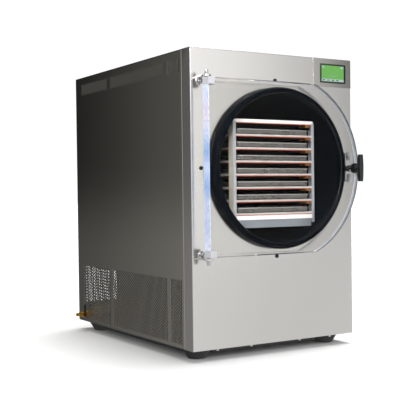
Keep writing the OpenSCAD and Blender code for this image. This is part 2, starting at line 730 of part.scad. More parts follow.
module compressor() color("#1d1f22") placed() translate([comp_x, comp_y, z_floor]) {
    shoulder = 40;
    body_h = comp_h - 20;
    difference() {
        translate([0, 0, 18]) linear_extrude(3) round_rect(210, 150, 16);
        for (x = [-1, 1], y = [-1, 1]) translate([x * 88, y * 56, 0]) cylinder(h = 30, r = 6);
    }
    translate([0, 0, 20]) rotate_extrude() intersection() {
        union() {
            square([comp_r, body_h - shoulder]);
            translate([comp_r - shoulder, body_h - shoulder]) circle(shoulder);
            square([comp_r - shoulder, body_h]);
        }
        square([comp_r, body_h]);
    }
    translate([0, 0, 62]) cylinder(h = 5, r = comp_r + 4);
    translate([comp_r - 4, -26, 76]) cube([22, 52, 54]);
}

module compressor_grommets() color("#111111") placed() translate([comp_x, comp_y, z_floor])
    for (x = [-1, 1], y = [-1, 1]) translate([x * 88, y * 56, 0]) {
        cylinder(h = 17.9, r = 12);
        cylinder(h = 26, r = 6 - fit);
        translate([0, 0, 21.1]) cylinder(h = 5, r = 10);
    }

// Two rows of tubes with a bend at each end, and fins between two end plates.
module condenser_coil() color("#9fb0b8") placed() {
    fins = floor((middle_field - 8) / 10);
    for (i = [0:fins]) translate([cond_x, cond_y0 + 4 + i * 10, z_floor]) cube([cond_t, 1, vent_h - 6]);
    for (y = [cond_y0, cond_y0 + middle_field - 2])
        translate([cond_x, y, z_floor]) cube([cond_t, 2, vent_h - 4]);
    for (z = [tube_z(0):27:tube_z(6)]) {
        for (x = [cond_x + 12, cond_x + 30]) along_y(x, cond_y0 - 12, z)
            cylinder(h = middle_field + 24, r = line_r, $fn = 32);
        for (y = [cond_y0 - 12, cond_y0 + middle_field + 12]) along_x(cond_x + 12, y, z)
            cylinder(h = 18, r = line_r, $fn = 32);
    }
}

module fan_shroud() color("#2b2d30") placed() {
    x0 = cond_x + cond_t;
    difference() {
        block(x0, x0 + 26, fan_y - 130, fan_y + 130, z_floor, z_floor + vent_h - 4);
        block(x0 - 1, x0 + 24, fan_y - 128, fan_y + 128, z_floor + 2, z_floor + vent_h - 6);
        along_x(x0, fan_y, fan_z) cylinder(h = 40, r = fan_r + 3);
    }
    for (a = [60, 180, 300]) along_x(x0 + 24, fan_y, fan_z) rotate([0, 0, a])
        translate([33, -4, 0]) cube([fan_r - 28, 8, 3]);
    difference() {
        along_x(x0 + 24, fan_y, fan_z) cylinder(h = 12, r = 35);
        along_x(x0 + 23, fan_y, fan_z) cylinder(h = 14, r = 32);
    }
}

module fan_motor() color("#55585c") placed() {
    x0 = cond_x + cond_t + 24;
    along_x(x0, fan_y, fan_z) cylinder(h = 46, r = 32 - fit);
    along_x(x0 - 17.7, fan_y, fan_z) cylinder(h = 20, r = 4);
}

// Four pitched blades on a hub.
module fan_blades() color("#33363a") placed() difference() {
    x0 = cond_x + cond_t + 4;
    union() {
        along_x(x0, fan_y, fan_z) cylinder(h = 17, r = 22);
        intersection() {
            along_x(x0 - 2, fan_y, fan_z) cylinder(h = 20, r = fan_r);
            along_x(x0 + 8.5, fan_y, fan_z) for (a = [0:90:270]) rotate([0, 0, a])
                translate([fan_r / 2 + 8, 0, 0]) rotate([28, 0, 0]) cube([fan_r, 30, 2], center = true);
        }
    }
    along_x(x0 + 2, fan_y, fan_z) cylinder(h = 20, r = 4 + fit);
}

// A pipe of straight runs between points, with a round elbow at each corner.
module pipe(points, r) for (i = [0:len(points) - 2]) {
    a = points[i];
    b = points[i + 1];
    d = b - a;
    if (i > 0) translate(a) sphere(r * 1.2, $fn = 32);
    translate(a) rotate([0, acos(d.z / norm(d)), atan2(d.y, d.x)]) cylinder(h = norm(d), r = r, $fn = 32);
}

module refrigerant_lines() color("#b56a3c") placed() {
    x1 = cond_x + 12;
    y1 = vent_start + 16;
    y2 = inlet_turn_y;
    y3 = cond_y0 - 12 - line_r - seat;
    z1 = z_floor + 110;
    z2 = z_floor + 175;
    z3 = deck_z - 12;
    top_z = tube_z(6);
    low_z = tube_z(0);
    shell_y = comp_y - comp_r - seat;
    discharge = [[comp_x, shell_y, z1], [comp_x, y1, z1], [x1, y1, z1], [x1, y1, top_z], [x1, y3, top_z]];
    liquid = [[x1, y3, low_z], [x1, y2, low_z], [drier_x, y2, low_z], [drier_x, y2, drier_z - seat]];
    feed = [[drier_x, y2, drier_z + 90 + seat], [drier_x, y2, z2], [0, y2, z2], [0, y2, coil_low]];
    comp_top = z_floor + comp_h + seat;
    suction = [[0, outlet_turn_y, coil_low], [0, outlet_turn_y, z3], [comp_x, comp_y, z3],
        [comp_x, comp_y, comp_top]];
    for (line = [discharge, liquid, feed, suction]) pipe(line, line_r);
}

module filter_drier() color("#9c6b42") placed() translate([drier_x, inlet_turn_y, drier_z]) {
    cylinder(h = 8, r1 = 6, r2 = 16);
    translate([0, 0, 8]) cylinder(h = 74, r = 16);
    translate([0, 0, 82]) cylinder(h = 8, r1 = 16, r2 = 6);
}

// ---- Drain, vacuum port and power ----

module drain_pipe() color("#c4c6c8") placed() {
    y = drum_drain_y;
    pipe([[-in_w, drain_y, drain_z], [0, drain_y, drain_z], [0, y, drain_z], [0, y, axis_z - drum_r - 1]], 7);
}

module drain_valve() color("#b08a3a") placed() difference() {
    union() {
        along_x(-half_w - 3, drain_y, drain_z) cylinder(h = 3, r = 14, $fn = 6);
        along_x(-half_w - 3, drain_y, drain_z) cylinder(h = 3 + sheet, r = 7);
        along_x(-half_w - 24, drain_y, drain_z) cylinder(h = 22, r = 9.5);
        along_x(-half_w - 27, drain_y, drain_z) cylinder(h = 4, r = 11, $fn = 6);
        along_x(-half_w - drain_out, drain_y, drain_z) cylinder(h = drain_out - 20, r = 6);
        along_y(lever_x, drain_y - 14, drain_z) cylinder(h = 14, r = 6.5);
    }
    along_x(-half_w - drain_out - 1, drain_y, drain_z) cylinder(h = 16, r = 4);
    along_y(lever_x, drain_y - 15, drain_z) cylinder(h = 9, r = 3 + fit);
}

module drain_lever() color("#161616") placed() {
    along_y(lever_x, drain_y - 18, drain_z) cylinder(h = 11, r = 3);
    along_y(lever_x, drain_y - 18, drain_z) cylinder(h = 3.7, r = 6);
    block(lever_x - 3, lever_x + 3, drain_y - 18, drain_y - 14.3, drain_z, drain_z + 34);
    along_y(lever_x, drain_y - 18, drain_z + 34) cylinder(h = 3.7, r = 4);
}

module vacuum_port() color("#c7c9cb") placed() on_axis() rotate_extrude() difference() {
    y1 = cabinet_d + port_out;
    y0 = crown_y + crown_r - 3;
    polygon([[port_r, y0], [port_r + 2, y0], [port_r + 2, y1 - 9], [20, y1 - 3], [20, y1], [port_r, y1]]);
}

// A frame on the rear panel with a body that fits its cut-out: half width w at the middle x, depth d.
module panel_fitting(x, w, d) {
    block(x - w - 4, x + w + 4, cabinet_d, cabinet_d + 2.5, inlet_z - 16, inlet_z + 16);
    block(x - w + fit, x + w - fit, cabinet_d - d, cabinet_d, inlet_z - 13 + fit, inlet_z + 13 - fit);
}

module power_inlet() color("#1a1a1a") placed() difference() {
    panel_fitting(inlet_x, 21, 32);
    difference() {
        block(inlet_x - 14, inlet_x + 14, cabinet_d - 18, cabinet_d + 4, inlet_z - 9, inlet_z + 9);
        for (pin = [[-7, -3], [0, 0], [7, -3]])
            translate([inlet_x + pin.x - 1, cabinet_d - 19, inlet_z + pin.y]) cube([2, 17, 4]);
    }
}

module switch_housing() color("#1a1a1a") placed() difference() {
    panel_fitting(switch_x, 11, 24);
    block(switch_x - 8, switch_x + 8, cabinet_d - 12, cabinet_d + 4, inlet_z - 11.5, inlet_z + 11.5);
    along_x(switch_x - 10, cabinet_d - 4, inlet_z) cylinder(h = 20, r = 1.5 + fit);
}

// The rocker's two faces slope from its middle; it rests with its lower half pressed in.
module power_rocker() color("#b3261e") placed() {
    translate([switch_x, cabinet_d - 4, inlet_z]) rotate([-rock_a, 0, 0]) rotate([90, 0, 90])
        linear_extrude(15.4, center = true) polygon([[-2.5, -8], [-2.5, 8], [6.2, 10], [4.6, 0], [6.2, -10]]);
    along_x(switch_x - 9.9, cabinet_d - 4, inlet_z) cylinder(h = 19.8, r = 1.5);
}

base_pan();
feet();
front_panel();
hem_screws();
left_side_panel();
right_side_panel();
top_panel();
rear_panel();
drum();
gasket();
evaporator_coil();
insulation_jacket();
machine_deck();
for (i = [1:trays + 1]) shelf(i);
for (i = [1:trays]) tray(i);
heater_mats();
heater_leads();
rack_posts();
rack_base();
door();
hinge_blocks();
hinge_brackets();
pivot_bolts();
hinge_screws();
flange_screws();
latch_keeper();
latch_shaft();
latch_pawl();
latch_handle();
screen_plate();
touch_screen();
control_box();
compressor();
compressor_grommets();
condenser_coil();
fan_shroud();
fan_motor();
fan_blades();
refrigerant_lines();
filter_drier();
drain_pipe();
drain_valve();
drain_lever();
vacuum_port();
power_inlet();
switch_housing();
power_rocker();
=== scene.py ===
"""Looks of the cabinet freeze dryer: a finish for every solid, and finer pieces where a solid stays plain."""
import json
import math
import bmesh
import bpy
import numpy as np
from mathutils import Matrix, Vector


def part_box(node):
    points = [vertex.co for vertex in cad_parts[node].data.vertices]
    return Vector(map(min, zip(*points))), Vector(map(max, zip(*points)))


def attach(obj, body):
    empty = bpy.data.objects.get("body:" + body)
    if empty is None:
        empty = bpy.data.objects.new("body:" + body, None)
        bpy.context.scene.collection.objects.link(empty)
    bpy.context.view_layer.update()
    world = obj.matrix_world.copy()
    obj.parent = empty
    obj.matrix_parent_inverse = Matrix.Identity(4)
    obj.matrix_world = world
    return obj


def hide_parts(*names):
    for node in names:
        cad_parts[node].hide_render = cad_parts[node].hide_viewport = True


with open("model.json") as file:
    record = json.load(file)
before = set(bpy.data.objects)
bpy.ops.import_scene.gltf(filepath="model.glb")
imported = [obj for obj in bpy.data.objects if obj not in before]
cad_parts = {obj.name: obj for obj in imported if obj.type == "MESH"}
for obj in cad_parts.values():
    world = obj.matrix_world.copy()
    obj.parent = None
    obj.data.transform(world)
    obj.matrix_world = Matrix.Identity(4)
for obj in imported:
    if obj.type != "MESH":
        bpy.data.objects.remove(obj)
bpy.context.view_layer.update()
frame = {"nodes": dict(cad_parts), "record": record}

MM = 0.001


# ---- Measures, taken from the frame ----

def low(node):
    """The lowest x, y and z that a node reaches."""
    return np.array(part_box(node)[0])


def high(node):
    """The highest x, y and z that a node reaches."""
    return np.array(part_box(node)[1])


MID = (low("front_panel")[0] + high("front_panel")[0]) / 2      # the cabinet's middle
FACE = low("front_panel")[1]                                    # the front panel's face
AXIS = (low("drum")[2] + high("drum")[2]) / 2                   # the drum's axis
HALF = high("front_panel")[0] - MID                             # half the cabinet's width
BASE = low("front_panel")[2]                                    # the panels' foot
TOP = high("front_panel")[2]                                    # the panels' head
REAR = high("rear_panel")[1]                                    # the rear panel's face
RETURN = high("front_panel")[1] - FACE                          # depth of the front's folds
SHEET = 1.5 * MM                                                # thickness of the sheet metal

DOOR_THICK = 32 * MM
DOOR_BEVEL = 1.2 * MM                           # chamfer on the door's edges
DOOR_SKIN = 0.1 * MM                            # thickness of the skins on the door's edges
DOOR_ARC = 286 * MM                             # radius of the door's round side
HINGE_BLOCK = 21.2 * MM                         # height of a hinge block in the door's corner
SAWN_REACH = 290 * MM                           # the sawn edge's bands run this far from the axis


# ---- Materials ----

def linear(code):
    """An sRGB hex colour as linear red, green, blue and alpha."""
    c = np.array([int(code[i:i + 2], 16) for i in (1, 3, 5)]) / 255
    c = np.where(c <= 0.04045, c / 12.92, ((c + 0.055) / 1.055) ** 2.4)
    return (*c.tolist(), 1.0)


def add(tree, kind, inputs=None, **settings):
    """Adds a node, sets its properties, and fills its inputs with values or links."""
    made = tree.nodes.new(kind)
    for key, value in settings.items():
        setattr(made, key, value)
    for key, value in (inputs or {}).items():
        if isinstance(value, bpy.types.NodeSocket):
            tree.links.new(value, made.inputs[key])
        else:
            made.inputs[key].default_value = value
    return made


def start(name, colour, rough, metal=0.0, **sockets):
    """A material with its shader's constant sockets set; returns the material, its tree and the shader."""
    made = bpy.data.materials.new(name)
    made.use_nodes = True
    tree = made.node_tree
    shader = tree.nodes["Principled BSDF"]
    values = {"Base Color": linear(colour), "Roughness": rough, "Metallic": metal}
    values.update({key.replace("_", " "): value for key, value in sockets.items()})
    for key, value in values.items():
        shader.inputs[key].default_value = value
    return made, tree, shader


def per_metre(size):
    """How many cells of a size in millimetres fit in a metre, along X, Y and Z."""
    return (1000 / np.broadcast_to(size, 3)).tolist()


def noise(tree, size, detail=3.0, rough=0.55):
    """Noise on object coordinates, with cells of a size in millimetres: one for all axes, or one for each."""
    place = add(tree, "ShaderNodeTexCoord")
    scaled = add(tree, "ShaderNodeMapping", {"Vector": place.outputs["Object"], "Scale": per_metre(size)})
    cells = add(tree, "ShaderNodeTexNoise", {
        "Vector": scaled.outputs["Vector"], "Scale": 1.0, "Detail": detail, "Roughness": rough})
    return cells.outputs["Fac"]


def spread(tree, value, lo, hi, a=0.3, b=0.7):
    """Carries a value's middle range a to b onto lo to hi."""
    return add(tree, "ShaderNodeMapRange", {
        "Value": value, "From Min": a, "From Max": b, "To Min": lo, "To Max": hi}).outputs["Result"]


def bump(tree, shader, height, distance, strength=1.0, under=None):
    """Raises the shader's normal by a height of so many metres."""
    inputs = {"Height": height, "Distance": distance, "Strength": strength}
    if under is not None:
        inputs["Normal"] = under
    made = add(tree, "ShaderNodeBump", inputs)
    tree.links.new(made.outputs["Normal"], shader.inputs["Normal"])
    return made.outputs["Normal"]


def tint(tree, shader, value, dark, light):
    """Colours the base between two tones by a value."""
    made = add(tree, "ShaderNodeMix", {"Factor": value}, data_type="RGBA")
    for socket, code in ((made.inputs[6], dark), (made.inputs[7], light)):
        socket.default_value = linear(code)
    tree.links.new(made.outputs[2], shader.inputs["Base Color"])


def brushed(name, dark, light, rough, grain, wave=0.0, grip=0.04, cut=0.02 * MM):
    """Rolled or brushed metal: fine grain lines of depth cut, and the slow swells of a thin sheet by wave."""
    made, tree, shader = start(name, light, rough, 1.0)
    lines = noise(tree, grain, 4.0, 0.6)
    tree.links.new(spread(tree, lines, rough - grip, rough + grip), shader.inputs["Roughness"])
    tint(tree, shader, spread(tree, lines, 0.0, 1.0), dark, light)
    fine = bump(tree, shader, lines, cut, 0.5)
    if wave:
        bump(tree, shader, noise(tree, SWELLS, 1.0, 0.4), wave, 1.0, fine)
    return made


def grained(name, dark, light, rough, grain, depth, metal=0.0, **sockets):
    """Moulded, cast or coated stuff: a fine skin of bumps and a faint change of tone."""
    made, tree, shader = start(name, light, rough, metal, **sockets)
    skin = noise(tree, grain, 3.0, 0.6)
    tree.links.new(spread(tree, skin, max(rough - 0.06, 0.02), rough + 0.08), shader.inputs["Roughness"])
    tint(tree, shader, spread(tree, skin, 0.0, 1.0), dark, light)
    bump(tree, shader, skin, depth, 0.6)
    return made


def silicone():
    """Silicone heater mat: orange-red at its cut edges and woven; its faces that look down are painted dark
    red-brown as painted shade.
    """
    made = grained("silicone_mat", "#9c3a20", "#b04a2c", 0.52, 1.1, 0.06 * MM)
    tree, shader = made.node_tree, made.node_tree.nodes["Principled BSDF"]
    woven = shader.inputs["Base Color"].links[0].from_socket
    painted_shade_facing = add(tree, "ShaderNodeNewGeometry")
    parts = add(tree, "ShaderNodeSeparateXYZ", {"Vector": painted_shade_facing.outputs["True Normal"]})
    # Faces that look down turn dark red-brown: painted shade.
    under = add(tree, "ShaderNodeMath", {0: parts.outputs["Z"], 1: -0.5}, operation="LESS_THAN")
    face = add(tree, "ShaderNodeMix", {"Factor": under.outputs["Value"]}, data_type="RGBA")
    tree.links.new(woven, face.inputs[6])
    face.inputs[7].default_value = linear("#2c0f08")
    tree.links.new(face.outputs[2], shader.inputs["Base Color"])
    return made


def brushed_plate():
    """Brushed stainless plate: grain along its width, and painted shade that deepens towards its right end,
    down to half its colour.
    """
    made = brushed("brushed_stainless_plate", "#aeaca8", "#bcbab6", 0.34, (50, 1.1, 0.7))
    tree, shader = made.node_tree, made.node_tree.nodes["Principled BSDF"]
    grain = shader.inputs["Base Color"].links[0].from_socket
    place = add(tree, "ShaderNodeTexCoord")
    parts = add(tree, "ShaderNodeSeparateXYZ", {"Vector": place.outputs["Object"]})
    ends = low("screen_plate")[0], high("screen_plate")[0]
    # Painted shade: the colour falls from full to half across the plate, left to right.
    across = add(tree, "ShaderNodeMapRange", {
        "Value": parts.outputs["X"], "From Min": ends[0], "From Max": ends[1], "To Min": 1.0, "To Max": 0.5})
    painted_shade = add(tree, "ShaderNodeMix", {"Factor": 1.0}, data_type="RGBA", blend_type="MULTIPLY")
    tree.links.new(grain, painted_shade.inputs[6])
    tree.links.new(across.outputs["Result"], painted_shade.inputs[7])
    tree.links.new(painted_shade.outputs[2], shader.inputs["Base Color"])
    return made


# Sizes of grain are in millimetres. The real grain of rolled steel, oxide, rubber and moulded plastic is
# finer than a tenth of a millimetre. It is drawn about a millimetre wide, as coarse as it needs to show.
# Sizes of several millimetres are clouds, specks and orange peel.
UPRIGHT_GRAIN = (1.4, 1.4, 110)
SWELLS = (385, 385, 588)                        # the slow swells of a thin sheet

# Satin stainless steel sheet, cold rolled: soft wide reflections, faint upright grain, slow swells.
FRONT_STEEL = brushed("satin_stainless_front", "#cac8c5", "#cdcbc8", 0.20, UPRIGHT_GRAIN,
                      wave=0.6 * MM, grip=0.012, cut=0.0003 * MM)
SIDE_STEEL = brushed("satin_stainless_side", "#bdb9ae", "#c1bdb2", 0.14, UPRIGHT_GRAIN,
                     wave=0.5 * MM, grip=0.012, cut=0.0003 * MM)
# Sheared edges and punched holes of the sheets: torn grey metal.
SHEARED_STEEL = brushed("sheared_stainless", "#2f2e2b", "#45433f", 0.6, 1.1)
# Brushed stainless plate: finer, a little darker and with the grain along the width; painted shade darkens it
# towards its right end.
PLATE_STEEL = brushed_plate()
# Bright steel of bent strips and rolled rims, nearly polished; on the trays' rims its brightness is a painted
# highlight.
BRIGHT_STEEL = brushed("bright_stainless", "#c9c8c6", "#dddcda", 0.16, 1.4, cut=0.002 * MM)
# Pressed tray steel, soft in gloss and a bit cloudy, darkened to grey as painted shade.
TRAY_STEEL_PAINTED_SHADE = brushed("pressed_tray_stainless_painted_shade", "#6e6c69", "#787572", 0.28, 83, cut=0.001 * MM)
# Bare tube steel with a drawn surface.
TUBE_STEEL = brushed("drawn_steel_tube", "#b5b6b7", "#c9cacb", 0.28, 1.1)
# Zinc-plated screws: bluish bright plating.
ZINC = brushed("zinc_plate", "#a5a8aa", "#c4c6c7", 0.30, 0.67)
# Galvanised deck sheet: crystals of zinc in patches of about a centimetre.
GALVANISED = brushed("galvanised_sheet", "#8c9092", "#b3b6b8", 0.42, 9.1)
# Copper tube, lightly tarnished.
COPPER = brushed("copper_tube", "#a5613c", "#c98257", 0.30, 3.3)
# Yellow brass valve.
BRASS = brushed("yellow_brass", "#8f6a26", "#b98f3f", 0.30, 1.7)
# Bare aluminium fins.
FIN_ALUMINIUM = brushed("fin_aluminium", "#a6b2b8", "#c2ccd1", 0.34, 2)
# White enamel of the rack's top shelf and foot bar: hard smooth paint.
WHITE_ENAMEL = grained("white_enamel", "#efedea", "#f5f3f0", 0.34, 3.3, 0.02 * MM)
# The shelves between the trays: the white enamel greyed as painted shade.
SHELF_ENAMEL_PAINTED_SHADE = grained("shelf_enamel_painted_shade", "#b7b4b0", "#c4c1bd", 0.36, 3.3, 0.02 * MM)
# Pale cream on the left post's outer web: painted light, brighter than the anodised angle, with specks of
# dust on it.
CREAM_WEB_PAINTED_LIGHT = grained("cream_web_painted_light", "#c9c2b4", "#ded7c8", 0.45, 3.8, 0.03 * MM)
# Satin steel of the rack's skirt.
SKIRT_STEEL = grained("satin_steel_skirt", "#848a91", "#8e949b", 0.42, 3.8, 0.01 * MM, 0.2)
# Clear anodised aluminium angle of the rack.
ANODISED = grained("anodised_aluminium", "#a4a7ac", "#b2b5ba", 0.42, 1.4, 0.02 * MM, 0.35)
# Chamber wall painted nearly black as painted shade for the dark inside of the drum, with hardly any gloss.
CHAMBER_PAINTED_SHADE = grained("chamber_painted_shade", "#01040a", "#02060e", 0.45, 17, 0.0005 * MM, IOR=1.04)
# Black EPDM rubber of the seal: smooth from its mould, with a soft sheen.
SEAL_RUBBER = grained("seal_rubber", "#02050a", "#03070d", 0.20, 25, 0.0005 * MM, IOR=1.08)
# Glossier skin of the seal's thin ribs, a shade lighter than the seal as a painted highlight.
RIB_RUBBER_PAINTED_HIGHLIGHT = grained("rib_rubber_painted_highlight", "#0b1118", "#10161e", 0.24, 25, 0.0005 * MM)
# Black rubber feet: matt and dusty grained.
RUBBER = grained("black_rubber", "#111213", "#1c1d1e", 0.62, 1.1, 0.05 * MM)
# Black enamel on the base.
BLACK_ENAMEL = grained("black_enamel", "#0e0f11", "#17181a", 0.42, 2, 0.03 * MM)
# Black moulded plastic with a fine spark-eroded texture.
BLACK_PLASTIC = grained("black_moulded_plastic", "#0b0c0e", "#131416", 0.36, 0.63, 0.03 * MM)
# Red moulded rocker.
RED_PLASTIC = grained("red_moulded_plastic", "#8f1a14", "#a9231b", 0.30, 0.83, 0.02 * MM)
# Black oxide steel of screws.
BLACK_SCREW = grained("black_oxide_steel", "#17181a", "#26282b", 0.38, 1.1, 0.02 * MM, 0.6)
# Acetal of the hinge blocks: greyish white and waxy.
ACETAL = grained("white_acetal", "#aeaeb4", "#b6b6bc", 0.30, 1.1, 0.01 * MM)
# Poured polyurethane foam: buff, matt and pitted.
FOAM = grained("buff_foam", "#d8cc9f", "#e6dcb6", 0.85, 6.3, 0.8 * MM)
# Orange-red silicone heater mat with a woven face.
SILICONE = silicone()
# Amber film tape over the leads.
AMBER_TAPE = grained("amber_film_tape", "#553610", "#7d5522", 0.25, 8.3, 0.1 * MM)


def acrylic():
    """Cast acrylic: clear, nearly colourless, and held down in gloss. Shadow rays pass straight through."""
    made, tree, shader = start("cast_acrylic", "#f0f0ef", 0.0, 0.0, Transmission_Weight=1.0, IOR=1.49,
                               Specular_Tint=linear("#101010"))
    path = add(tree, "ShaderNodeLightPath")
    clear = add(tree, "ShaderNodeBsdfTransparent", {"Color": linear("#fafafa")})
    mixed = add(tree, "ShaderNodeMixShader", {
        "Fac": path.outputs["Is Shadow Ray"], 1: shader.outputs["BSDF"], 2: clear.outputs["BSDF"]})
    tree.links.new(mixed.outputs["Shader"], tree.nodes["Material Output"].inputs["Surface"])
    return made


def ramp_through(tree, value, stops):
    """A colour ramp through (place, colour) stops, the first at its start and the last at its end."""
    ramp = add(tree, "ShaderNodeValToRGB", {"Fac": value})
    marks = ramp.color_ramp.elements
    last = len(stops) - 1
    for k, (where, colour) in enumerate(stops):
        mark = marks.new(where) if 0 < k < last else marks[0 if k == 0 else -1]
        mark.color = colour
    return ramp


# The painted reflection on the sawn edge: bands of colour from its foot to its top.
SAWN_PAINTED_REFLECTION_BANDS = [(0.0, "#e9ebf2"), (0.10, "#d4d9e8"), (0.20, "#c3cbe2"), (0.32, "#c2c8dc"), (0.40, "#8fabd0"),
              (0.50, "#c4d0e6"), (0.58, "#8fabd0"), (0.68, "#c6cee0"), (0.78, "#d8cdd8"), (0.88, "#c9d0e6"),
              (1.0, "#f1f1f4")]
SAW_STREAKS = (16.67, 16.67, 45.45)             # size of the blade's streaks, in millimetres


def sawn_acrylic_painted_reflection():
    """The saw's face on acrylic: painted reflection in white, lavender and steel-blue bands up its length,
    crossed by the blade's streaks, with a painted glow.
    """
    made, tree, shader = start("sawn_acrylic_painted_reflection", "#dfe5f4", 0.22)
    place = add(tree, "ShaderNodeTexCoord")
    along = add(tree, "ShaderNodeSeparateXYZ", {"Vector": place.outputs["Object"]})
    height = add(tree, "ShaderNodeMapRange", {
        "Value": along.outputs["Z"], "From Min": AXIS - SAWN_REACH, "From Max": AXIS + SAWN_REACH})
    stops = [(where, linear(code)) for where, code in SAWN_PAINTED_REFLECTION_BANDS]
    bands = ramp_through(tree, height.outputs["Result"], stops)
    scaled = add(tree, "ShaderNodeMapping", {
        "Vector": place.outputs["Object"], "Scale": per_metre(SAW_STREAKS)})
    streak = add(tree, "ShaderNodeTexWave", {
        "Vector": scaled.outputs["Vector"], "Scale": 1.3, "Distortion": 9.0, "Detail": 3.0,
        "Detail Scale": 1.6}, bands_direction="DIAGONAL")
    shade = spread(tree, streak.outputs["Fac"], 0.5, 0.0, 0.05, 0.5)
    mixed = add(tree, "ShaderNodeMix", {"Factor": shade}, data_type="RGBA")
    tree.links.new(bands.outputs["Color"], mixed.inputs[6])
    mixed.inputs[7].default_value = linear("#6f86b4")
    tree.links.new(mixed.outputs[2], shader.inputs["Base Color"])
    # The bands glow as well: painted light, though the edge is no lamp.
    tree.links.new(mixed.outputs[2], shader.inputs["Emission Color"])
    shader.inputs["Emission Strength"].default_value = 0.32
    bump(tree, shader, streak.outputs["Fac"], 0.4 * MM, 0.5)
    return made


def routed_acrylic():
    """The router's satin face on acrylic: pale grey in depth, with a dark navy line at the front corner; the
    satin is real, these bands are painted reflection.
    """
    made, tree, shader = start("routed_acrylic", "#a9afbb", 0.25)
    place = add(tree, "ShaderNodeTexCoord")
    parts = add(tree, "ShaderNodeSeparateXYZ", {"Vector": place.outputs["Object"]})
    front = low("door")[1]
    depth = add(tree, "ShaderNodeMapRange", {
        "Value": parts.outputs["Y"], "From Min": front, "From Max": front + DOOR_THICK})
    # Bands across the depth, navy at the front to pale grey behind: painted reflection.
    bands = add(tree, "ShaderNodeValToRGB", {"Fac": depth.outputs["Result"]})
    marks = bands.color_ramp.elements
    marks[0].position, marks[0].color = 0.22, linear("#27324f")
    marks[1].position, marks[1].color = 0.9, linear("#b9bcc2")
    middle = marks.new(0.34)
    middle.color = linear("#8f959f")
    tree.links.new(bands.outputs["Color"], shader.inputs["Base Color"])
    bump(tree, shader, noise(tree, 3.3), 0.02 * MM, 0.3)
    return made


def lit(name, dark, light, strength):
    """A lit patch of the screen under its glass, its tone a trace uneven."""
    made, tree, shader = start(name, light, 0.12, 0.0, Coat_Weight=0.5, Coat_Roughness=0.05)
    shader.inputs["Emission Color"].default_value = linear(light)
    shader.inputs["Emission Strength"].default_value = strength
    tint(tree, shader, noise(tree, 11, 1.0), dark, light)
    return made


ACRYLIC = acrylic()
SAWN_ACRYLIC_PAINTED_REFLECTION = sawn_acrylic_painted_reflection()
ROUTED_ACRYLIC = routed_acrylic()
SCREEN_GREEN = lit("screen_green", "#53903e", "#54913f", 0.2)
SCREEN_WHITE = lit("screen_white", "#92a1a3", "#93a2a4", 0.2)
SCREEN_DARK = grained("screen_bezel", "#0b0d0d", "#121414", 0.12, 3.3, 0.01 * MM)


# ---- Surfaces ----

def grid_faces(rows, cols, ring_rows=False, ring_cols=False):
    """The quads of a grid of points, joined round where a direction is a ring."""
    i, j = np.meshgrid(np.arange(rows if ring_rows else rows - 1),
                       np.arange(cols if ring_cols else cols - 1), indexing="ij")
    k, m = (i + 1) % rows, (j + 1) % cols
    return np.stack([i * cols + j, k * cols + j, k * cols + m, i * cols + m], -1).reshape(-1, 4)


def surface(points, ring_rows=False, ring_cols=False):
    """A grid of points as a shape: its vertices and its faces."""
    rows, cols = points.shape[:2]
    return points.reshape(-1, 3), grid_faces(rows, cols, ring_rows, ring_cols).tolist()


def joined(shapes):
    """Several shapes as one."""
    verts, faces, count = [], [], 0
    for v, f in shapes:
        verts.append(v)
        faces += [[i + count for i in face] for face in f]
        count += len(v)
    return np.concatenate(verts), faces


MERGE = 0.002 * MM                              # points nearer than this are one
SHARP_BEND = math.radians(32)                   # an edge bent by more than this stays sharp


def piece(name, shape, material, body="cabinet", replaces=(), recalc=True):
    """Makes a mesh object from a shape, merges its doubles, turns its faces out and rides it on a body."""
    verts, faces = shape
    mesh = bpy.data.meshes.new(name)
    mesh.from_pydata(np.asarray(verts).tolist(), [], faces)
    work = bmesh.new()
    work.from_mesh(mesh)
    bmesh.ops.remove_doubles(work, verts=work.verts, dist=MERGE)
    if recalc:
        bmesh.ops.recalc_face_normals(work, faces=work.faces)
    work.to_mesh(mesh)
    work.free()
    mesh.shade_smooth()
    mesh.set_sharp_from_angle(angle=SHARP_BEND)
    made = bpy.data.objects.new(name, mesh)
    bpy.context.scene.collection.objects.link(made)
    mesh.materials.append(material)
    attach(made, body)
    if replaces:
        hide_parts(*replaces)
    return made


def modifier(made, kind, **settings):
    """Adds a modifier of a kind, with its settings."""
    m = made.modifiers.new(kind.title(), kind)
    for key, value in settings.items():
        setattr(m, key, value)


def circle(radius, count, first=0.0):
    """Points at even steps round a circle, from a first angle on."""
    a = first + np.arange(count) * 2 * np.pi / count
    return np.stack([radius * np.cos(a), radius * np.sin(a)], -1)


def round_box(w, h, r, steps=6):
    """Outline of a rectangle about its own middle, with a quarter circle at each corner."""
    a = np.linspace(0, np.pi / 2, steps + 1)
    x, y = w / 2 - r, h / 2 - r
    corners = [(x, y), (-x, y), (-x, -y), (x, -y)]
    return np.concatenate([
        np.stack([cx + r * np.cos(a + k * np.pi / 2), cy + r * np.sin(a + k * np.pi / 2)], -1)
        for k, (cx, cy) in enumerate(corners)])


def drawn_in(outline, inset):
    """An outline moved inwards along its own normals."""
    ahead, behind = np.roll(outline, -1, 0), np.roll(outline, 1, 0)
    one = outline - behind
    two = ahead - outline
    one = one / np.maximum(np.linalg.norm(one, axis=1, keepdims=True), 1e-12)
    two = two / np.maximum(np.linalg.norm(two, axis=1, keepdims=True), 1e-12)
    n = one + two
    n = n / np.maximum(np.linalg.norm(n, axis=1, keepdims=True), 1e-12)
    turn = np.clip(np.sum(n * one, axis=1, keepdims=True), 0.5, 1)
    return outline + np.stack([-n[:, 1], n[:, 0]], -1) * inset / turn


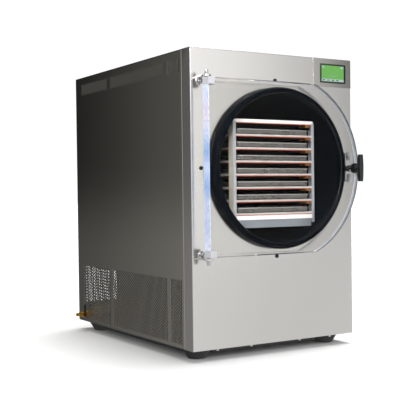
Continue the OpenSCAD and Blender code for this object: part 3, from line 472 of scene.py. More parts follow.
def slab(outline, z0, z1, edge=0.0, steps=3):
    """A plate between two heights whose rims are quarter circles of radius edge."""
    a = np.linspace(0, np.pi / 2, steps + 1)
    inset = edge * (1 - np.cos(a[::-1])) if edge else np.zeros(1)
    rise = edge * (1 - np.sin(a[::-1])) if edge else np.zeros(1)
    levels = [(i, z0 + r) for i, r in zip(inset, rise)]
    levels += [(i, z1 - r) for i, r in zip(inset[::-1], rise[::-1])]
    n = len(outline)
    rings = np.stack([np.column_stack([drawn_in(outline, i), np.full(n, z)]) for i, z in levels])
    verts, faces = surface(rings, ring_cols=True)
    return verts, faces + [list(range(n))[::-1], list(range(len(verts) - n, len(verts)))]


def lathe(profile, count=96):
    """A profile of (radius, height) points turned round the third axis, closed where it meets the axis."""
    profile = np.asarray(profile, float)
    a = np.arange(count) * 2 * np.pi / count
    ring = np.stack([np.cos(a), np.sin(a)], -1)
    points = np.concatenate([profile[:, None, :1] * ring[None], np.broadcast_to(
        profile[:, None, 1:], (len(profile), count, 1))], -1)
    return surface(points, ring_cols=True)


def closed_lathe(profile, count=96):
    """A closed profile of (radius, height) points turned round the third axis, as a ring."""
    profile = np.asarray(profile, float)
    return lathe(np.concatenate([profile, profile[:1]]), count)


def turned(shape, to, at):
    """Takes a shape's own axes to the three given by name, such as 'x z -y', and moves its origin."""
    verts, faces = shape
    names = {"x": (1, 0, 0), "y": (0, 1, 0), "z": (0, 0, 1)}
    axes = np.array([np.array(names[t[-1]]) * (-1 if t[0] == "-" else 1) for t in to.split()], float)
    return np.asarray(verts) @ axes + np.asarray(at, float), faces


def at(x, y, z):
    """A place measured from the cabinet's middle, the front panel's face and the floor."""
    return np.array([MID + x, FACE + y, z])


# ---- Folded and punched sheets ----

HOLE = 6.9 * MM                                 # across a vent hole
HOLE_STEP = (10.57 * MM, 7.635 * MM)            # between holes up a column, and between columns
HOLE_SIDES = 12
# Border points of a hole's cell and of a half cell, in parts of the step and of the row.
CELL_EDGE = np.array([[0, 0], [1, 0], [2, 0], [3, 0], [4, 0], [4, 2],
                      [4, 4], [3, 4], [2, 4], [1, 4], [0, 4], [0, 2]]) / 4
HALF_CELL_EDGE = np.array([[0, 0], [1, 0], [2, 0], [2, 2], [2, 4], [1, 4], [0, 4], [0, 2]]) / 4
VENT_LOW = (BASE + 7 * MM, 206 * MM)            # foot and height of the lower vent fields
VENT_HIGH = (TOP - 68 * MM, 44 * MM)            # the same of the band near the top
EDGE_FOLD = 14 * MM                             # depth of the folds of the side and rear panels
EDGE_BEND = 2 * MM
FRONT_BEND = 2.5 * MM
DRUM_OPENING = 241 * MM                         # radius of the front's round opening
DRUM_SQUARE = 285 * MM                          # half the square of sheet that is laid out round it


def fold_path(lo, hi, lo_fold, hi_fold, radius, steps=4):
    """Coordinates across a sheet, each with its depth: a fold of a given depth at each end, on a round bend.

    The third number says where a point is: 0 on the flat, 1 on a bend and 2 at a fold's end.
    """
    a = np.linspace(np.pi / 2, 0, steps + 1)
    out = [[lo, lo_fold, 2]] if lo_fold else [[lo, 0, 0]]
    if lo_fold:
        out += [[lo + radius * (1 - math.sin(t)), radius * (1 - math.cos(t)), 1] for t in a]
    if hi_fold:
        out += [[hi - radius * (1 - math.sin(t)), radius * (1 - math.cos(t)), 1] for t in a[::-1]]
        out += [[hi, hi_fold, 2]]
    else:
        out += [[hi, 0, 0]]
    return np.array(out)


def punched_cells(corner, size):
    """Round holes in staggered columns, as cells: a rectangle's border points meet a ring of as many points.

    Odd columns are moved up by half a step, and a plain half cell fills each of their ends. The cells are
    laid out along rows first, with both axes swapped at the end.
    """
    step, row = HOLE_STEP
    cols, rows = int(size[1] // step), int(size[0] // row)
    first = np.array(corner)[::-1] + (np.array(size)[::-1] - [cols * step, rows * row]) / 2
    ring = circle(HOLE / 2, HOLE_SIDES, math.radians(-150)) + [step / 2, row / 2]
    cell = np.concatenate([CELL_EDGE * [step, row], ring])
    j, i = np.meshgrid(np.arange(rows), np.arange(cols), indexing="ij")
    keep = (j % 2 == 0) | (i < cols - 1)
    places = np.stack([(i + (j % 2) / 2) * step, j * row], -1)[keep]
    verts = (first + places[:, None] + cell[None]).reshape(-1, 2)
    k = np.arange(HOLE_SIDES)
    after = (k + 1) % HOLE_SIDES
    quad = np.stack([k, after, HOLE_SIDES + after, HOLE_SIDES + k], -1)
    faces = (quad[None] + len(cell) * np.arange(len(places))[:, None, None]).reshape(-1, 4).tolist()
    odd = np.arange(1, rows, 2)
    ends = np.concatenate([np.stack([np.full(len(odd), x), odd * row], -1) for x in (0, (cols - 0.5) * step)])
    halves = (first + ends[:, None] + (HALF_CELL_EDGE * [step, row])[None]).reshape(-1, 2)
    n = len(HALF_CELL_EDGE)
    faces += (np.arange(n)[None] + n * np.arange(len(ends))[:, None] + len(verts)).tolist()
    end = first + [cols * step, rows * row]
    swapped = np.concatenate([verts, halves])[:, ::-1]
    return swapped, [f[::-1] for f in faces], (first[1], first[0], end[1], end[0])


def hole_cells(centre, radius, half, count=120):
    """A square of sheet round a round hole: rays run from the hole's ring to the square's border."""
    ring = circle(1, count)
    border = ring / np.abs(ring).max(axis=1, keepdims=True)
    verts = np.concatenate([ring * radius, border * half]) + centre
    k = np.arange(count)
    faces = np.stack([k, count + k, count + (k + 1) % count, (k + 1) % count], -1).tolist()
    return verts, faces, (centre[0] - half, centre[1] - half, centre[0] + half, centre[1] + half)


def between(lo, hi, cuts):
    """The ends of a stretch and the cuts that fall between them, in order."""
    return sorted({round(v, 7) for v in [lo, hi, *[c for c in cuts if lo < c < hi]]})


def plate(marks, u0, u1, v0, v1):
    """One plain face, its border run through every marked point on its four sides."""
    near = 0.0002 * MM
    inside_u = (marks[:, 0] >= u0 - near) & (marks[:, 0] <= u1 + near)
    inside_v = (marks[:, 1] >= v0 - near) & (marks[:, 1] <= v1 + near)
    bottom = marks[(abs(marks[:, 1] - v0) < near) & inside_u]
    right = marks[(abs(marks[:, 0] - u1) < near) & inside_v]
    top = marks[(abs(marks[:, 1] - v1) < near) & inside_u]
    left = marks[(abs(marks[:, 0] - u0) < near) & inside_v]
    loop = np.concatenate([
        bottom[np.argsort(bottom[:, 0])][:-1], right[np.argsort(right[:, 1])][:-1],
        top[np.argsort(-top[:, 0])][:-1], left[np.argsort(-left[:, 1])][:-1]])
    return np.column_stack([loop, np.zeros(len(loop))]), [list(range(len(loop)))]


def sheet(u_path, v_path, patches):
    """A folded sheet as (u, v, depth) points. The patches are punched fields; plain plates fill the rest.

    The plates are the cells of the lines through every patch's sides. Each takes in all border points on it,
    so that nothing gapes. The folds are strips along the four sides, one for each pair of points of a path.
    """
    flat_u = u_path[u_path[:, 1] == 0][:, 0]
    flat_v = v_path[v_path[:, 1] == 0][:, 0]
    us = between(flat_u[0], flat_u[-1], [b for p in patches for b in (p[2][0], p[2][2])])
    vs = between(flat_v[0], flat_v[-1], [b for p in patches for b in (p[2][1], p[2][3])])
    shapes = [(np.column_stack([v, np.zeros(len(v))]), f) for v, f, _ in patches]
    corners = np.array([[u, v] for u in us for v in vs])
    marks = np.concatenate([p[0] for p in patches] + [corners])
    marks = np.unique(np.round(marks, 7), axis=0)
    for u0, u1 in zip(us, us[1:]):
        for v0, v1 in zip(vs, vs[1:]):
            u, v = (u0 + u1) / 2, (v0 + v1) / 2
            if not any(b[0] < u < b[2] and b[1] < v < b[3] for _, _, b in patches):
                shapes.append(plate(marks, u0, u1, v0, v1))
    shapes.append(fold_strips(u_path, v_path, us, vs))
    return joined(shapes)


def fold_strips(u_path, v_path, us, vs):
    """The bends and folds round a sheet: a grid over both paths, without its middle and outer corners."""
    def with_lines(path, lines):
        """A path with its flat middle cut at the given lines."""
        flat = [[x, 0, 0] for x in lines]
        i = np.where(path[:, 1] == 0)[0]
        return np.array(path[:i[0]].tolist() + flat + path[i[-1] + 1:].tolist())
    u, v = with_lines(u_path, us), with_lines(v_path, vs)
    grid = np.empty((len(u), len(v), 3))
    grid[..., 0] = u[:, None, 0]
    grid[..., 1] = v[None, :, 0]
    grid[..., 2] = u[:, None, 1] + v[None, :, 1]
    verts, faces = surface(grid)
    ku = np.maximum(u[:-1, 2], u[1:, 2])[:, None] + np.zeros(len(v) - 1)
    kv = np.maximum(v[:-1, 2], v[1:, 2])[None, :] + np.zeros((len(u) - 1, 1))
    keep = ((ku > 0) | (kv > 0)) & ~((ku == 2) & (kv == 2))
    return verts, [f for f, k in zip(faces, keep.reshape(-1)) if k]


def sheet_metal(made):
    """Gives a sheet its thickness, away from its face, with dull sheared metal in all its cut edges."""
    made.data.materials.append(SHEARED_STEEL)
    modifier(made, "SOLIDIFY", thickness=SHEET, offset=-1.0, use_even_offset=True, material_offset_rim=1)
    modifier(made, "WEIGHTED_NORMAL", keep_sharp=True, weight=100)


def mapped(shape, origin, u_axis, v_axis, depth_axis):
    """Puts a sheet's (u, v, depth) points in place along three axes."""
    verts, faces = shape
    return verts @ np.array([u_axis, v_axis, depth_axis], float) + origin, faces


def front_panel():
    """The front: a sheet folded back on all sides, with a round opening for the drum."""
    u = fold_path(-HALF, HALF, RETURN, RETURN, FRONT_BEND)
    v = fold_path(BASE, TOP, RETURN, RETURN, FRONT_BEND)
    opening = hole_cells(np.array([0.0, AXIS]), DRUM_OPENING, DRUM_SQUARE)
    shape = mapped(sheet(u, v, [opening]), (MID, FACE, 0), (1, 0, 0), (0, 0, 1), (0, 1, 0))
    made = piece("front_panel_skin", shape, FRONT_STEEL, replaces=["front_panel"],
                 recalc=False)
    face_out(made, (0, -1, 0))
    sheet_metal(made)


def face_out(made, direction):
    """Turns a sheet over if its largest face looks away from the given direction."""
    mesh = made.data
    largest = max(mesh.polygons, key=lambda p: p.area)
    work = bmesh.new()
    work.from_mesh(mesh)
    bmesh.ops.recalc_face_normals(work, faces=work.faces)
    work.faces.ensure_lookup_table()
    if work.faces[largest.index].normal.dot(Vector(direction)) < 0:
        bmesh.ops.reverse_faces(work, faces=work.faces)
    work.to_mesh(mesh)
    work.free()


def vent_fields():
    """The three vent fields along a side panel, each by its start and its width from the front on."""
    last = 568 * MM
    return [(64 * MM, 72 * MM), (156 * MM, 392 * MM), (last, REAR - FACE - 53 * MM - last)]


def side_panel(name, side):
    """A side: a sheet folded in at all edges, punched in three fields below and in a band near the top."""
    u = fold_path(RETURN + 0.4 * MM, REAR - FACE, EDGE_FOLD, EDGE_FOLD, EDGE_BEND)
    v = fold_path(BASE, TOP - SHEET, EDGE_FOLD, EDGE_FOLD, EDGE_BEND)
    patches = [punched_cells((y, z), (w, h)) for y, w in vent_fields() for z, h in (VENT_LOW, VENT_HIGH)]
    origin = (MID + side * HALF, FACE, 0)
    shape = mapped(sheet(u, v, patches), origin, (0, 1, 0), (0, 0, 1), (-side, 0, 0))
    made = piece(name + "_skin", shape, SIDE_STEEL, replaces=[name], recalc=False)
    face_out(made, (side, 0, 0))
    sheet_metal(made)


def cut_out(node):
    """An empty patch of the back: the rectangle that a fitting's body takes behind the sheet."""
    points = np.array([v.co[:] for v in frame["nodes"][node].data.vertices])
    inside = points[points[:, 1] < REAR - SHEET]
    lo, hi = inside.min(axis=0), inside.max(axis=0)
    return np.zeros((0, 2)), [], (lo[0] - MID, lo[2], hi[0] - MID, hi[2])


def rear_panel():
    """The back: a flat sheet with three punched fields below, a round hole and a cut-out for each fitting."""
    inner = HALF - SHEET
    margin, gap = 24 * MM, 20 * MM
    foot, height = BASE + 60 * MM, 153 * MM
    port = 15.5 * MM
    u = fold_path(-inner, inner, 0, 0, 0)
    v = fold_path(BASE, TOP - SHEET, EDGE_FOLD, 0, EDGE_BEND)
    field = (2 * (inner - margin) - 2 * gap) / 3
    patches = [punched_cells((-inner + margin + k * (field + gap), foot), (field, height)) for k in range(3)]
    patches.append(hole_cells(np.array([0.0, AXIS]), port, 20 * MM, 48))
    patches += [cut_out("power_inlet"), cut_out("switch_housing")]
    shape = mapped(sheet(u, v, patches), (MID, REAR, 0), (1, 0, 0), (0, 0, 1), (0, -1, 0))
    made = piece("rear_panel_skin", shape, SIDE_STEEL, replaces=["rear_panel"],
                 recalc=False)
    face_out(made, (0, 1, 0))
    sheet_metal(made)


# ---- Solids with broken edges ----

FLAT_WITHIN = math.radians(0.4)                 # triangles bent by less than this are one flat
CORNER_BEND = math.radians(30)                  # edges bent by more than this are rounded


def softened(node, material, width, segments=2):
    """A node's own form with its sharp edges rounded: its triangles merged into flats, then bevelled."""
    source = frame["nodes"][node].data
    work = bmesh.new()
    work.from_mesh(source)
    bmesh.ops.remove_doubles(work, verts=work.verts, dist=1e-6)
    bmesh.ops.dissolve_limit(work, angle_limit=FLAT_WITHIN, verts=work.verts, edges=work.edges)
    mesh = bpy.data.meshes.new(node + "_soft")
    work.to_mesh(mesh)
    work.free()
    if "custom_normal" in mesh.attributes:
        mesh.attributes.remove(mesh.attributes["custom_normal"])
    mesh.materials.clear()
    mesh.materials.append(material)
    mesh.shade_smooth()
    made = bpy.data.objects.new(node + "_finished", mesh)
    bpy.context.scene.collection.objects.link(made)
    record = frame["record"]
    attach(made, next(b for b, members in record["behaviour"]["bodies"].items() if node in members))
    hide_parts(node)
    modifier(made, "BEVEL", width=width, segments=segments, limit_method="ANGLE", angle_limit=CORNER_BEND,
             harden_normals=True, use_clamp_overlap=True)
    return made


def two_faced(made, other, chosen):
    """Gives a second finish to the faces that a test of centre and normal picks."""
    mesh = made.data
    mesh.materials.append(other)
    for face in mesh.polygons:
        if chosen(face.center, face.normal):
            face.material_index = 1


def rack_posts():
    """The posts: clear anodised angle, the left post's outer web painted pale cream as painted light."""
    made = softened("rack_posts", ANODISED, 0.4 * MM)
    two_faced(made, CREAM_WEB_PAINTED_LIGHT, lambda centre, normal: normal.x < -0.9 and centre.x < MID)


def rack_base():
    """The rack's foot: a white bar in front and satin steel plates under it."""
    made = softened("rack_base", WHITE_ENAMEL, 0.5 * MM)
    under = high("rack_base")[2] - 13.5 * MM
    two_faced(made, SKIRT_STEEL, lambda centre, normal: centre.z < under)


# ---- Trays ----

def tray(i):
    """A pressed pan: one profile of rim, wall, bottom radius and floor carried round a rounded rectangle.

    The rim's rolled edge is a piece of its own, a round bead carried round the same outline, in bright steel
    as a painted highlight.
    """
    lo, hi = low(f"tray_{i}"), high(f"tray_{i}")
    w, d, h = hi - lo
    place = [(lo[0] + hi[0]) / 2, (lo[1] + hi[1]) / 2, lo[2]]
    rim, bend, foot, bead, corner = 4 * MM, 1.2 * MM, 4.5 * MM, 1.7 * MM, 14 * MM

    def ring(inset, z):
        """The tray's outline moved in and lifted to a height."""
        outline = round_box(w - 2 * inset, d - 2 * inset, max(corner - inset, 3 * MM), 8)
        return np.column_stack([outline, np.full(len(outline), z)])
    t = np.linspace(0, np.pi / 2, 5)
    profile = [(bead, h - bead), (rim - bend, h - bead)]
    profile += [(rim - bend + bend * math.sin(a), h - bead - bend * (1 - math.cos(a))) for a in t[1:]]
    profile += [(rim + foot * (1 - math.cos(a)), foot * (1 - math.sin(a))) for a in t]
    profile += [(rim + foot + 6 * MM, 0.0)]
    rings = np.stack([ring(inset, z) for inset, z in profile])
    verts, faces = surface(rings, ring_cols=True)
    faces.append(list(range(len(verts) - rings.shape[1], len(verts))))
    # The pan in darkened steel: painted shade.
    pan = piece(f"tray_{i}_pan", (verts + place, faces), TRAY_STEEL_PAINTED_SHADE, replaces=[f"tray_{i}"],
                recalc=False)
    face_out(pan, (0, 0, -1))
    modifier(pan, "SOLIDIFY", thickness=1.0 * MM, offset=-1.0)
    rolled = circle(bead, 10) + [bead, h - bead]
    verts, faces = surface(np.stack([ring(inset, z) for inset, z in rolled]), ring_rows=True, ring_cols=True)
    # The rim in bright steel: painted highlight on the tray's own sheet.
    piece(f"tray_{i}_rim", (verts + place, faces), BRIGHT_STEEL)


# ---- Seal ----

def seal():
    """The moulded seal: a foot that grips the drum's lip, and a round bead in front that the door squeezes.

    Two thin ribs run round the bead, each a small circle on it at its own angle from the bead's outer side.
    """
    bead_r, bead_at = 10.9 * MM, 240.2 * MM
    depth = FACE - low("gasket")[1] - bead_r
    t = np.linspace(-0.42 * np.pi, 1.30 * np.pi, 40)
    bead = [(bead_at + bead_r * math.cos(a), depth + bead_r * math.sin(a)) for a in t]
    foot = [(231.6 * MM, 12 * MM), (231.6 * MM, 0.5 * MM), (249.0 * MM, 0.5 * MM), (249.0 * MM, 6 * MM)]
    ring = turned(closed_lathe(bead + foot, 240), "x z -y", at(0, 0, AXIS))
    piece("door_seal", ring, SEAL_RUBBER, replaces=["gasket"])
    rib_at = 9.4 * MM
    t = np.linspace(0, 2 * np.pi, 13)[:-1]
    ribs = []
    for lean, size in ((0.22 * np.pi, 1.5 * MM), (0.74 * np.pi, 1.7 * MM)):
        out, up = bead_at + rib_at * math.cos(lean), depth + rib_at * math.sin(lean)
        rib = [(out + size * math.cos(a), up + size * math.sin(a)) for a in t]
        ribs.append(turned(closed_lathe(rib, 240), "x z -y", at(0, 0, AXIS)))
    # The ribs in lighter rubber than the seal: painted highlight.
    piece("door_seal_ribs", joined(ribs), RIB_RUBBER_PAINTED_HIGHLIGHT)


# ---- Door ----

def strip(section, path):
    """A thin closed section carried along a path, each of its points a row of path(point); ends capped."""
    rows = np.stack([path(across, y) for across, y in section])
    verts, faces = surface(rows, ring_rows=True)
    count, n = rows.shape[:2]
    faces = faces + [[k * n for k in range(count)], [k * n + n - 1 for k in reversed(range(count))]]
    return verts, faces


def edge_section(lo, hi):
    """A skin over a door edge: up the front chamfer, along the edge to the back one and back again inside."""
    bevel, skin, gap = DOOR_BEVEL, DOOR_SKIN, 0.05 * MM
    return [(-bevel - skin, lo + gap), (-skin, lo + bevel), (-skin, hi - bevel), (-2 * skin, hi - bevel),
            (-2 * skin, lo + bevel + skin / 2), (-bevel - 2 * skin, lo + gap + skin / 2)]


def cut_edge():
    """The door's sawn left edge: a thin skin over edge and front chamfer, between the hinge blocks."""
    lo, hi = low("door"), high("door")
    z = np.array([lo[2] + HINGE_BLOCK, hi[2] - HINGE_BLOCK])
    shape = strip(edge_section(lo[1], hi[1]),
                  lambda across, y: np.column_stack([np.full(2, lo[0] - across), np.full(2, y), z]))
    piece("door_cut_edge", shape, SAWN_ACRYLIC_PAINTED_REFLECTION, body="door")


def arc_edge():
    """The routed round edge: a thin skin just under the door's arc, one section carried round its angle."""
    lo, hi = low("door"), high("door")
    reach = math.asin((hi[2] - lo[2]) / 2 / DOOR_ARC) - 0.006
    t = np.linspace(-reach, reach, 121)
    shape = strip(edge_section(lo[1], hi[1]), lambda across, y: np.column_stack([
        (DOOR_ARC + across) * np.cos(t) + MID, np.full(len(t), y), (DOOR_ARC + across) * np.sin(t) + AXIS]))
    piece("door_arc_edge", shape, ROUTED_ACRYLIC, body="door")


# ---- Screen ----

def screen():
    """The screen's dark glass with a lit face: a green ground, a bar at its foot and small marks above."""
    lo, hi = low("touch_screen"), high("touch_screen")
    w, h = hi[0] - lo[0], hi[2] - lo[2]
    middle = [(lo[0] + hi[0]) / 2, lo[1], (lo[2] + hi[2]) / 2]
    depth = FACE - lo[1] + 11 * MM
    body = slab(round_box(w, h, 3 * MM), 0, depth, 0.8 * MM)
    piece("screen_glass_body", turned(body, "x z y", middle), SCREEN_DARK, replaces=["touch_screen"])

    def patch(x0, x1, z0, z1, lift):
        """A flat mark between two x and two z, in millimetres from the screen's middle and off its face."""
        flat = slab(round_box((x1 - x0) * MM, (z1 - z0) * MM, 0.6 * MM, 3), -lift * MM, 0.2 * MM)
        centre = [middle[0] + (x0 + x1) / 2 * MM, middle[1], middle[2] + (z0 + z1) / 2 * MM]
        return turned(flat, "x z y", centre)
    x, z = w / 2 / MM - 5, h / 2 / MM - 5
    piece("screen_ground", patch(-x, x - 3, -z, z, 0.02), SCREEN_GREEN)
    marks = [patch(-x + 1, x - 4, -z + 1, -z + 8, 0.05)]
    marks += [patch(-x + 3, -x + 10, z - 8, z - 2.5, 0.05), patch(x - 17, x - 6, z - 8, z - 2.5, 0.05)]
    marks += [patch(-22, 20, -4.4, -3.6, 0.05), patch(-16, 14, -8.2, -7.6, 0.05)]
    piece("screen_marks", joined(marks), SCREEN_WHITE)
    keys = [patch(-x + 4 + k * 19, -x + 14 + k * 19, -z + 3, -z + 5.6, 0.08) for k in range(4)]
    piece("screen_keys", joined(keys), SCREEN_DARK)


# ---- Screws and bolts ----

def hex_head(radius, height, count=6):
    """A hexagon head: a six-sided prism cut by a shallow cone, which leaves round chamfers on its corners."""
    steps = 8
    a = np.arange(count * steps) * 2 * np.pi / (count * steps)
    local = (a % (2 * np.pi / count)) - np.pi / count
    flat = radius * math.cos(np.pi / count) / np.cos(local)
    slope, top = 0.62, 0.94
    drop = (flat - radius * math.cos(np.pi / count)) * slope
    inner = radius * math.cos(np.pi / count) * top
    unit = np.stack([np.cos(a), np.sin(a)], -1)
    rings = [np.column_stack([unit * flat[:, None], np.zeros(len(a))]),
             np.column_stack([unit * flat[:, None], height - drop]),
             np.column_stack([unit * inner, np.full(len(a), height)])]
    verts, faces = surface(np.stack(rings), ring_cols=True)
    n = len(a)
    return verts, faces + [list(range(n))[::-1], list(range(len(verts) - n, len(verts)))]


def button(radius, height, edge, socket=0.0, count=48):
    """A round head with a rounded rim and, where socket is given, a six-sided recess."""
    t = np.linspace(0, np.pi / 2, 5)
    profile = [(0.0, 0.0), (radius, 0.0)]
    profile += [(radius - edge * (1 - math.cos(a)), height - edge * (1 - math.sin(a))) for a in t]
    if not socket:
        return lathe(profile + [(0.0, height)], count)
    a = np.arange(count) * 2 * np.pi / count
    local = (a % (np.pi / 3)) - np.pi / 6
    hexagon = socket * math.cos(np.pi / 6) / np.cos(local)
    unit = np.stack([np.cos(a), np.sin(a)], -1)
    rings = [np.column_stack([unit * r, np.full(count, z)]) for r, z in profile]
    rings += [np.column_stack([unit * hexagon[:, None], np.full(count, z)]) for z in (height, height * 0.45)]
    rings += [np.column_stack([unit * 0.0, np.full(count, height * 0.4)])]
    return surface(np.stack(rings), ring_cols=True)


def pivot_bolts():
    """Each pivot: a washer, a nut with chamfered corners and the bolt's rounded end above it."""
    lo, hi = low("pivot_bolts"), high("pivot_bolts")
    x, y = (lo[0] + hi[0]) / 2, (lo[1] + hi[1]) / 2
    arm = high("hinge_brackets")[2]
    shapes = []
    for way, base in (("x y z", arm), ("x -y -z", 2 * AXIS - arm)):
        parts = [button(10 * MM, 2 * MM, 0.5 * MM)]
        head = hex_head(7.5 * MM, 7 * MM)
        parts.append((head[0] + [0, 0, 2 * MM], head[1]))
        end = button(5.5 * MM, 6 * MM, 1.6 * MM, 2.6 * MM)
        parts.append((end[0] + [0, 0, 9 * MM], end[1]))
        pin = lathe([(0, 0), (4 * MM, 0), (4 * MM, 26 * MM), (0, 26 * MM)], 32)
        parts.append((pin[0] - [0, 0, 25 * MM], pin[1]))
        shapes += [turned(p, way, (x, y, base)) for p in parts]
    piece("pivot_bolts_turned", joined(shapes), ZINC, replaces=["pivot_bolts"])


def hinge_screws():
    """The cap screws that hold the brackets: a washer and a round head with a six-sided socket."""
    lo, hi = low("hinge_screws"), high("hinge_screws")
    x, z = (lo[0] + hi[0]) / 2, (lo[2] + 9 * MM, hi[2] - 9 * MM)
    shapes = []
    for place in z:
        plate = button(9 * MM, 1.5 * MM, 0.4 * MM)
        head = button(5.5 * MM, 5 * MM, 0.8 * MM, 2.9 * MM)
        shapes.append(turned(plate, "x z -y", (x, FACE - 5 * MM, place)))
        shapes.append(turned(head, "x z -y", (x, FACE - 6.5 * MM, place)))
    piece("hinge_screws_turned", joined(shapes), ZINC, replaces=["hinge_screws"])


def flange_screws():
    """The black screws round the drum: low domed heads with a six-sided socket."""
    circle_r = 275 * MM
    shapes = []
    for k in range(4):
        c, s = math.cos(k * math.pi / 2), math.sin(k * math.pi / 2)
        rise = 3 * MM if k == 0 else 0      # the right one sits on the latch's keeper
        head = button(6 * MM, 3.5 * MM, 1.5 * MM, 2.4 * MM)
        shapes.append(turned(head, "x z -y", at(circle_r * c, -rise, AXIS + circle_r * s)))
    piece("flange_screws_turned", joined(shapes), BLACK_SCREW, replaces=["flange_screws"])


# ---- Finishes of the solids that stay as they are ----

KEPT = {
    "base_pan": BLACK_ENAMEL, "feet": RUBBER, "hem_screws": ZINC, "drum": CHAMBER_PAINTED_SHADE,
    "evaporator_coil": COPPER, "insulation_jacket": FOAM, "machine_deck": GALVANISED,
    "heater_mats": SILICONE, "heater_leads": AMBER_TAPE, "door": ACRYLIC, "control_box": BLACK_PLASTIC,
    "compressor": BLACK_ENAMEL, "compressor_grommets": RUBBER, "condenser_coil": FIN_ALUMINIUM,
    "fan_shroud": BLACK_PLASTIC, "fan_motor": GALVANISED, "fan_blades": BLACK_PLASTIC,
    "refrigerant_lines": COPPER, "filter_drier": COPPER, "drain_pipe": TUBE_STEEL, "drain_valve": BRASS,
    "drain_lever": BLACK_PLASTIC, "vacuum_port": TUBE_STEEL, "latch_pawl": BLACK_SCREW,
    "latch_shaft": BLACK_SCREW}
for name, finish in KEPT.items():
    node = frame["nodes"][name]
    node.data.materials.clear()
    node.data.materials.append(finish)

front_panel()
side_panel("left_side_panel", -1)
side_panel("right_side_panel", 1)
rear_panel()
softened("top_panel", FRONT_STEEL, 0.6 * MM)
for i in range(1, 8):
    tray(i)
for i in range(1, 9):
    # Shelves below the top one take the greyed enamel: painted shade.
    softened(f"shelf_{i}", WHITE_ENAMEL if i == 1 else SHELF_ENAMEL_PAINTED_SHADE, 0.4 * MM)
rack_posts()
rack_base()
softened("hinge_blocks", ACETAL, 0.8 * MM)
softened("hinge_brackets", BRIGHT_STEEL, 0.8 * MM)
softened("latch_keeper", BRIGHT_STEEL, 0.6 * MM)
softened("latch_handle", BLACK_PLASTIC, 1.8 * MM, segments=4)
softened("screen_plate", PLATE_STEEL, 0.3 * MM)
softened("power_inlet", BLACK_PLASTIC, 0.5 * MM)
softened("switch_housing", BLACK_PLASTIC, 0.5 * MM)
softened("power_rocker", RED_PLASTIC, 0.5 * MM)
seal()
cut_edge()
arc_edge()
screen()
pivot_bolts()
hinge_screws()
flange_screws()


# ---- Stage, light and camera ----

def floor():
    """A wide pale floor under the feet, an even grid of squares. Glossy rays don't see it."""
    side = np.linspace(-40, 40, 9)
    grid = np.stack(np.meshgrid(side, side, [0.0], indexing="ij"), -1)[:, :, 0]
    verts, faces = surface(grid)
    mesh = bpy.data.meshes.new("studio_floor")
    mesh.from_pydata(verts.tolist(), [], faces)
    made = bpy.data.objects.new("studio_floor", mesh)
    bpy.context.scene.collection.objects.link(made)
    paper, tree, shader = start("white_paper_floor", "#f2f2f2", 0.9)
    tint(tree, shader, noise(tree, 500), "#f1f1f1", "#f3f3f3")
    mesh.materials.append(paper)
    made.visible_glossy = False


# The studio's walls and ground: how bright each bearing is, in degrees from straight behind the machine
# towards its right.
WALLS = [(-180, 1.3), (-120, 0.95), (-75, 0.95), (-50, 0.50), (-36, 0.26), (-30, 0.12), (-23, 0.010),
         (-10, 0.003), (-1, 0.08), (10, 0.28), (22, 0.45), (38, 0.80), (60, 0.40), (100, 0.25), (132, 0.30),
         (140, 0.62), (148, 1.55), (156, 1.69), (168, 1.60), (180, 1.3)]
GROUND = [(-180, 1.0), (-75, 0.7), (-50, 0.65), (-36, 0.42), (-30, 0.24), (-23, 0.09), (-10, 0.03), (20, 0.3),
          (60, 0.6), (125, 0.98), (136, 0.95), (143, 0.84), (150, 1.02), (165, 1.08), (180, 1.0)]
BRIGHTEST = 1.7
CEILING = "#8c8c8c"
BEYOND_THE_DOOR = "#9aa6bd"
SUN_WAY = Vector((-0.20, -0.03, -1.0))
SPOT_PLACE = Vector((-1.5, -2.2, 1.5))
SPOT_TARGET = Vector((0, -0.3, 0.60))


def ring_of_light(tree, turn, stops):
    """A ramp round the horizon through the given bearings, as parts of the brightest."""
    greys = [((bearing + 180) / 360, (*[level / BRIGHTEST] * 3, 1)) for bearing, level in stops]
    ramp = ramp_through(tree, turn, greys)
    ramp.color_ramp.interpolation = "EASE"
    return ramp.outputs["Color"]


def blended(tree, factor, one, two):
    """Two colours mixed by a factor; each is a socket or an sRGB hex."""
    made = add(tree, "ShaderNodeMix", {"Factor": factor}, data_type="RGBA")
    for socket, colour in ((made.inputs[6], one), (made.inputs[7], two)):
        if isinstance(colour, str):
            socket.default_value = linear(colour)
        else:
            tree.links.new(colour, socket)
    return made.outputs[2]


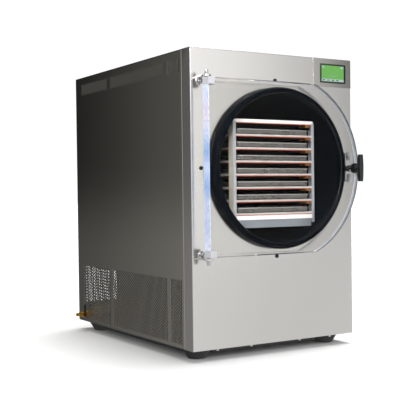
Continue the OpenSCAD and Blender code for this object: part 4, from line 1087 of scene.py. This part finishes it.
def room():
    """Walls and ground of uneven brightness round the machine, under a grey ceiling.

    The camera itself sees plain white. Rays that go on backwards out of the clear door meet a dim blue-grey.
    """
    world = bpy.data.worlds.new("studio")
    world.use_nodes = True
    tree = world.node_tree
    way = add(tree, "ShaderNodeTexCoord")
    axes = add(tree, "ShaderNodeSeparateXYZ", {"Vector": way.outputs["Generated"]})
    bearing = add(tree, "ShaderNodeMath", {0: axes.outputs["X"], 1: axes.outputs["Y"]}, operation="ARCTAN2")
    turn = add(tree, "ShaderNodeMapRange", {
        "Value": bearing.outputs["Value"], "From Min": -math.pi, "From Max": math.pi})
    fall = add(tree, "ShaderNodeMapRange", {"Value": axes.outputs["Z"], "From Min": -0.07, "From Max": 0.03},
               interpolation_type="SMOOTHSTEP")
    rise = add(tree, "ShaderNodeMapRange", {"Value": axes.outputs["Z"], "From Min": 0.4, "From Max": 0.9},
               interpolation_type="SMOOTHSTEP")
    walls = ring_of_light(tree, turn.outputs["Result"], WALLS)
    ground = ring_of_light(tree, turn.outputs["Result"], GROUND)
    level = blended(tree, fall.outputs["Result"], ground, walls)
    around = blended(tree, rise.outputs["Result"], level, CEILING)
    backdrop = tree.nodes["Background"]
    backdrop.inputs["Color"].default_value = linear("#ffffff")
    backdrop.inputs["Strength"].default_value = 1.05
    surround = add(tree, "ShaderNodeBackground", {"Color": around, "Strength": BRIGHTEST})
    beyond = add(tree, "ShaderNodeBackground", {"Color": linear(BEYOND_THE_DOOR), "Strength": 0.5})
    path = add(tree, "ShaderNodeLightPath")
    behind = add(tree, "ShaderNodeMath", {0: axes.outputs["Y"], 1: path.outputs["Is Transmission Ray"]},
                 operation="MULTIPLY")
    through = add(tree, "ShaderNodeMath", {0: behind.outputs["Value"], 1: 0.0}, operation="GREATER_THAN")
    seen = add(tree, "ShaderNodeMixShader", {
        "Fac": through.outputs["Value"], 1: surround.outputs["Background"], 2: beyond.outputs["Background"]})
    mixed = add(tree, "ShaderNodeMixShader", {
        "Fac": path.outputs["Is Camera Ray"], 1: seen.outputs["Shader"], 2: backdrop.outputs["Background"]})
    tree.links.new(mixed.outputs["Shader"], tree.nodes["World Output"].inputs["Surface"])
    bpy.context.scene.world = world


def lamp(name, kind, energy, place, way, **settings):
    """A lamp of a kind at a place, shining one way."""
    light = bpy.data.lights.new(name, kind)
    light.energy = energy
    for key, value in settings.items():
        setattr(light, key, value)
    made = bpy.data.objects.new(name, light)
    made.location = place
    made.rotation_mode = "QUATERNION"
    made.rotation_quaternion = way.to_track_quat("-Z", "Y")
    bpy.context.scene.collection.objects.link(made)


def studio():
    """The room, one wide soft lamp overhead that leans to the left, and a soft spot on the door."""
    room()
    lamp("soft_lamp", "SUN", 3.2, (0, 0, 0), SUN_WAY, angle=math.radians(40))
    lamp("door_spot", "SPOT", 150, SPOT_PLACE, SPOT_TARGET - SPOT_PLACE, shadow_soft_size=0.25,
         spot_size=math.radians(24), spot_blend=0.6)


CAMERA_PLACE = (-1.605, -2.608, 0.5075)
CAMERA_TURN, CAMERA_TIP, CAMERA_ROLL = math.radians(-31.72), math.radians(1.02), math.radians(-0.725)
CAMERA_LENS = 75.64                             # millimetres, on a sensor 36 wide


def camera():
    """The view: low, from the front left, a little rolled, through a long lens."""
    turn, tip, roll = CAMERA_TURN, CAMERA_TIP, CAMERA_ROLL
    back = Vector((math.sin(turn) * math.cos(tip), -math.cos(turn) * math.cos(tip), math.sin(tip)))
    right = Vector((math.cos(turn), math.sin(turn), 0))
    up = back.cross(right)
    across = math.cos(roll) * right + math.sin(roll) * up
    upright = math.cos(roll) * up - math.sin(roll) * right
    lens = bpy.data.cameras.new("camera")
    lens.lens, lens.sensor_width = CAMERA_LENS, 36.0
    lens.clip_start, lens.clip_end = 0.05, 60
    made = bpy.data.objects.new("camera", lens)
    pose = Matrix((across, upright, back)).transposed().to_4x4()
    pose.translation = CAMERA_PLACE
    made.matrix_world = pose
    bpy.context.scene.collection.objects.link(made)
    bpy.context.scene.camera = made


floor()
studio()
camera()
bpy.context.scene.view_settings.view_transform = "Standard"
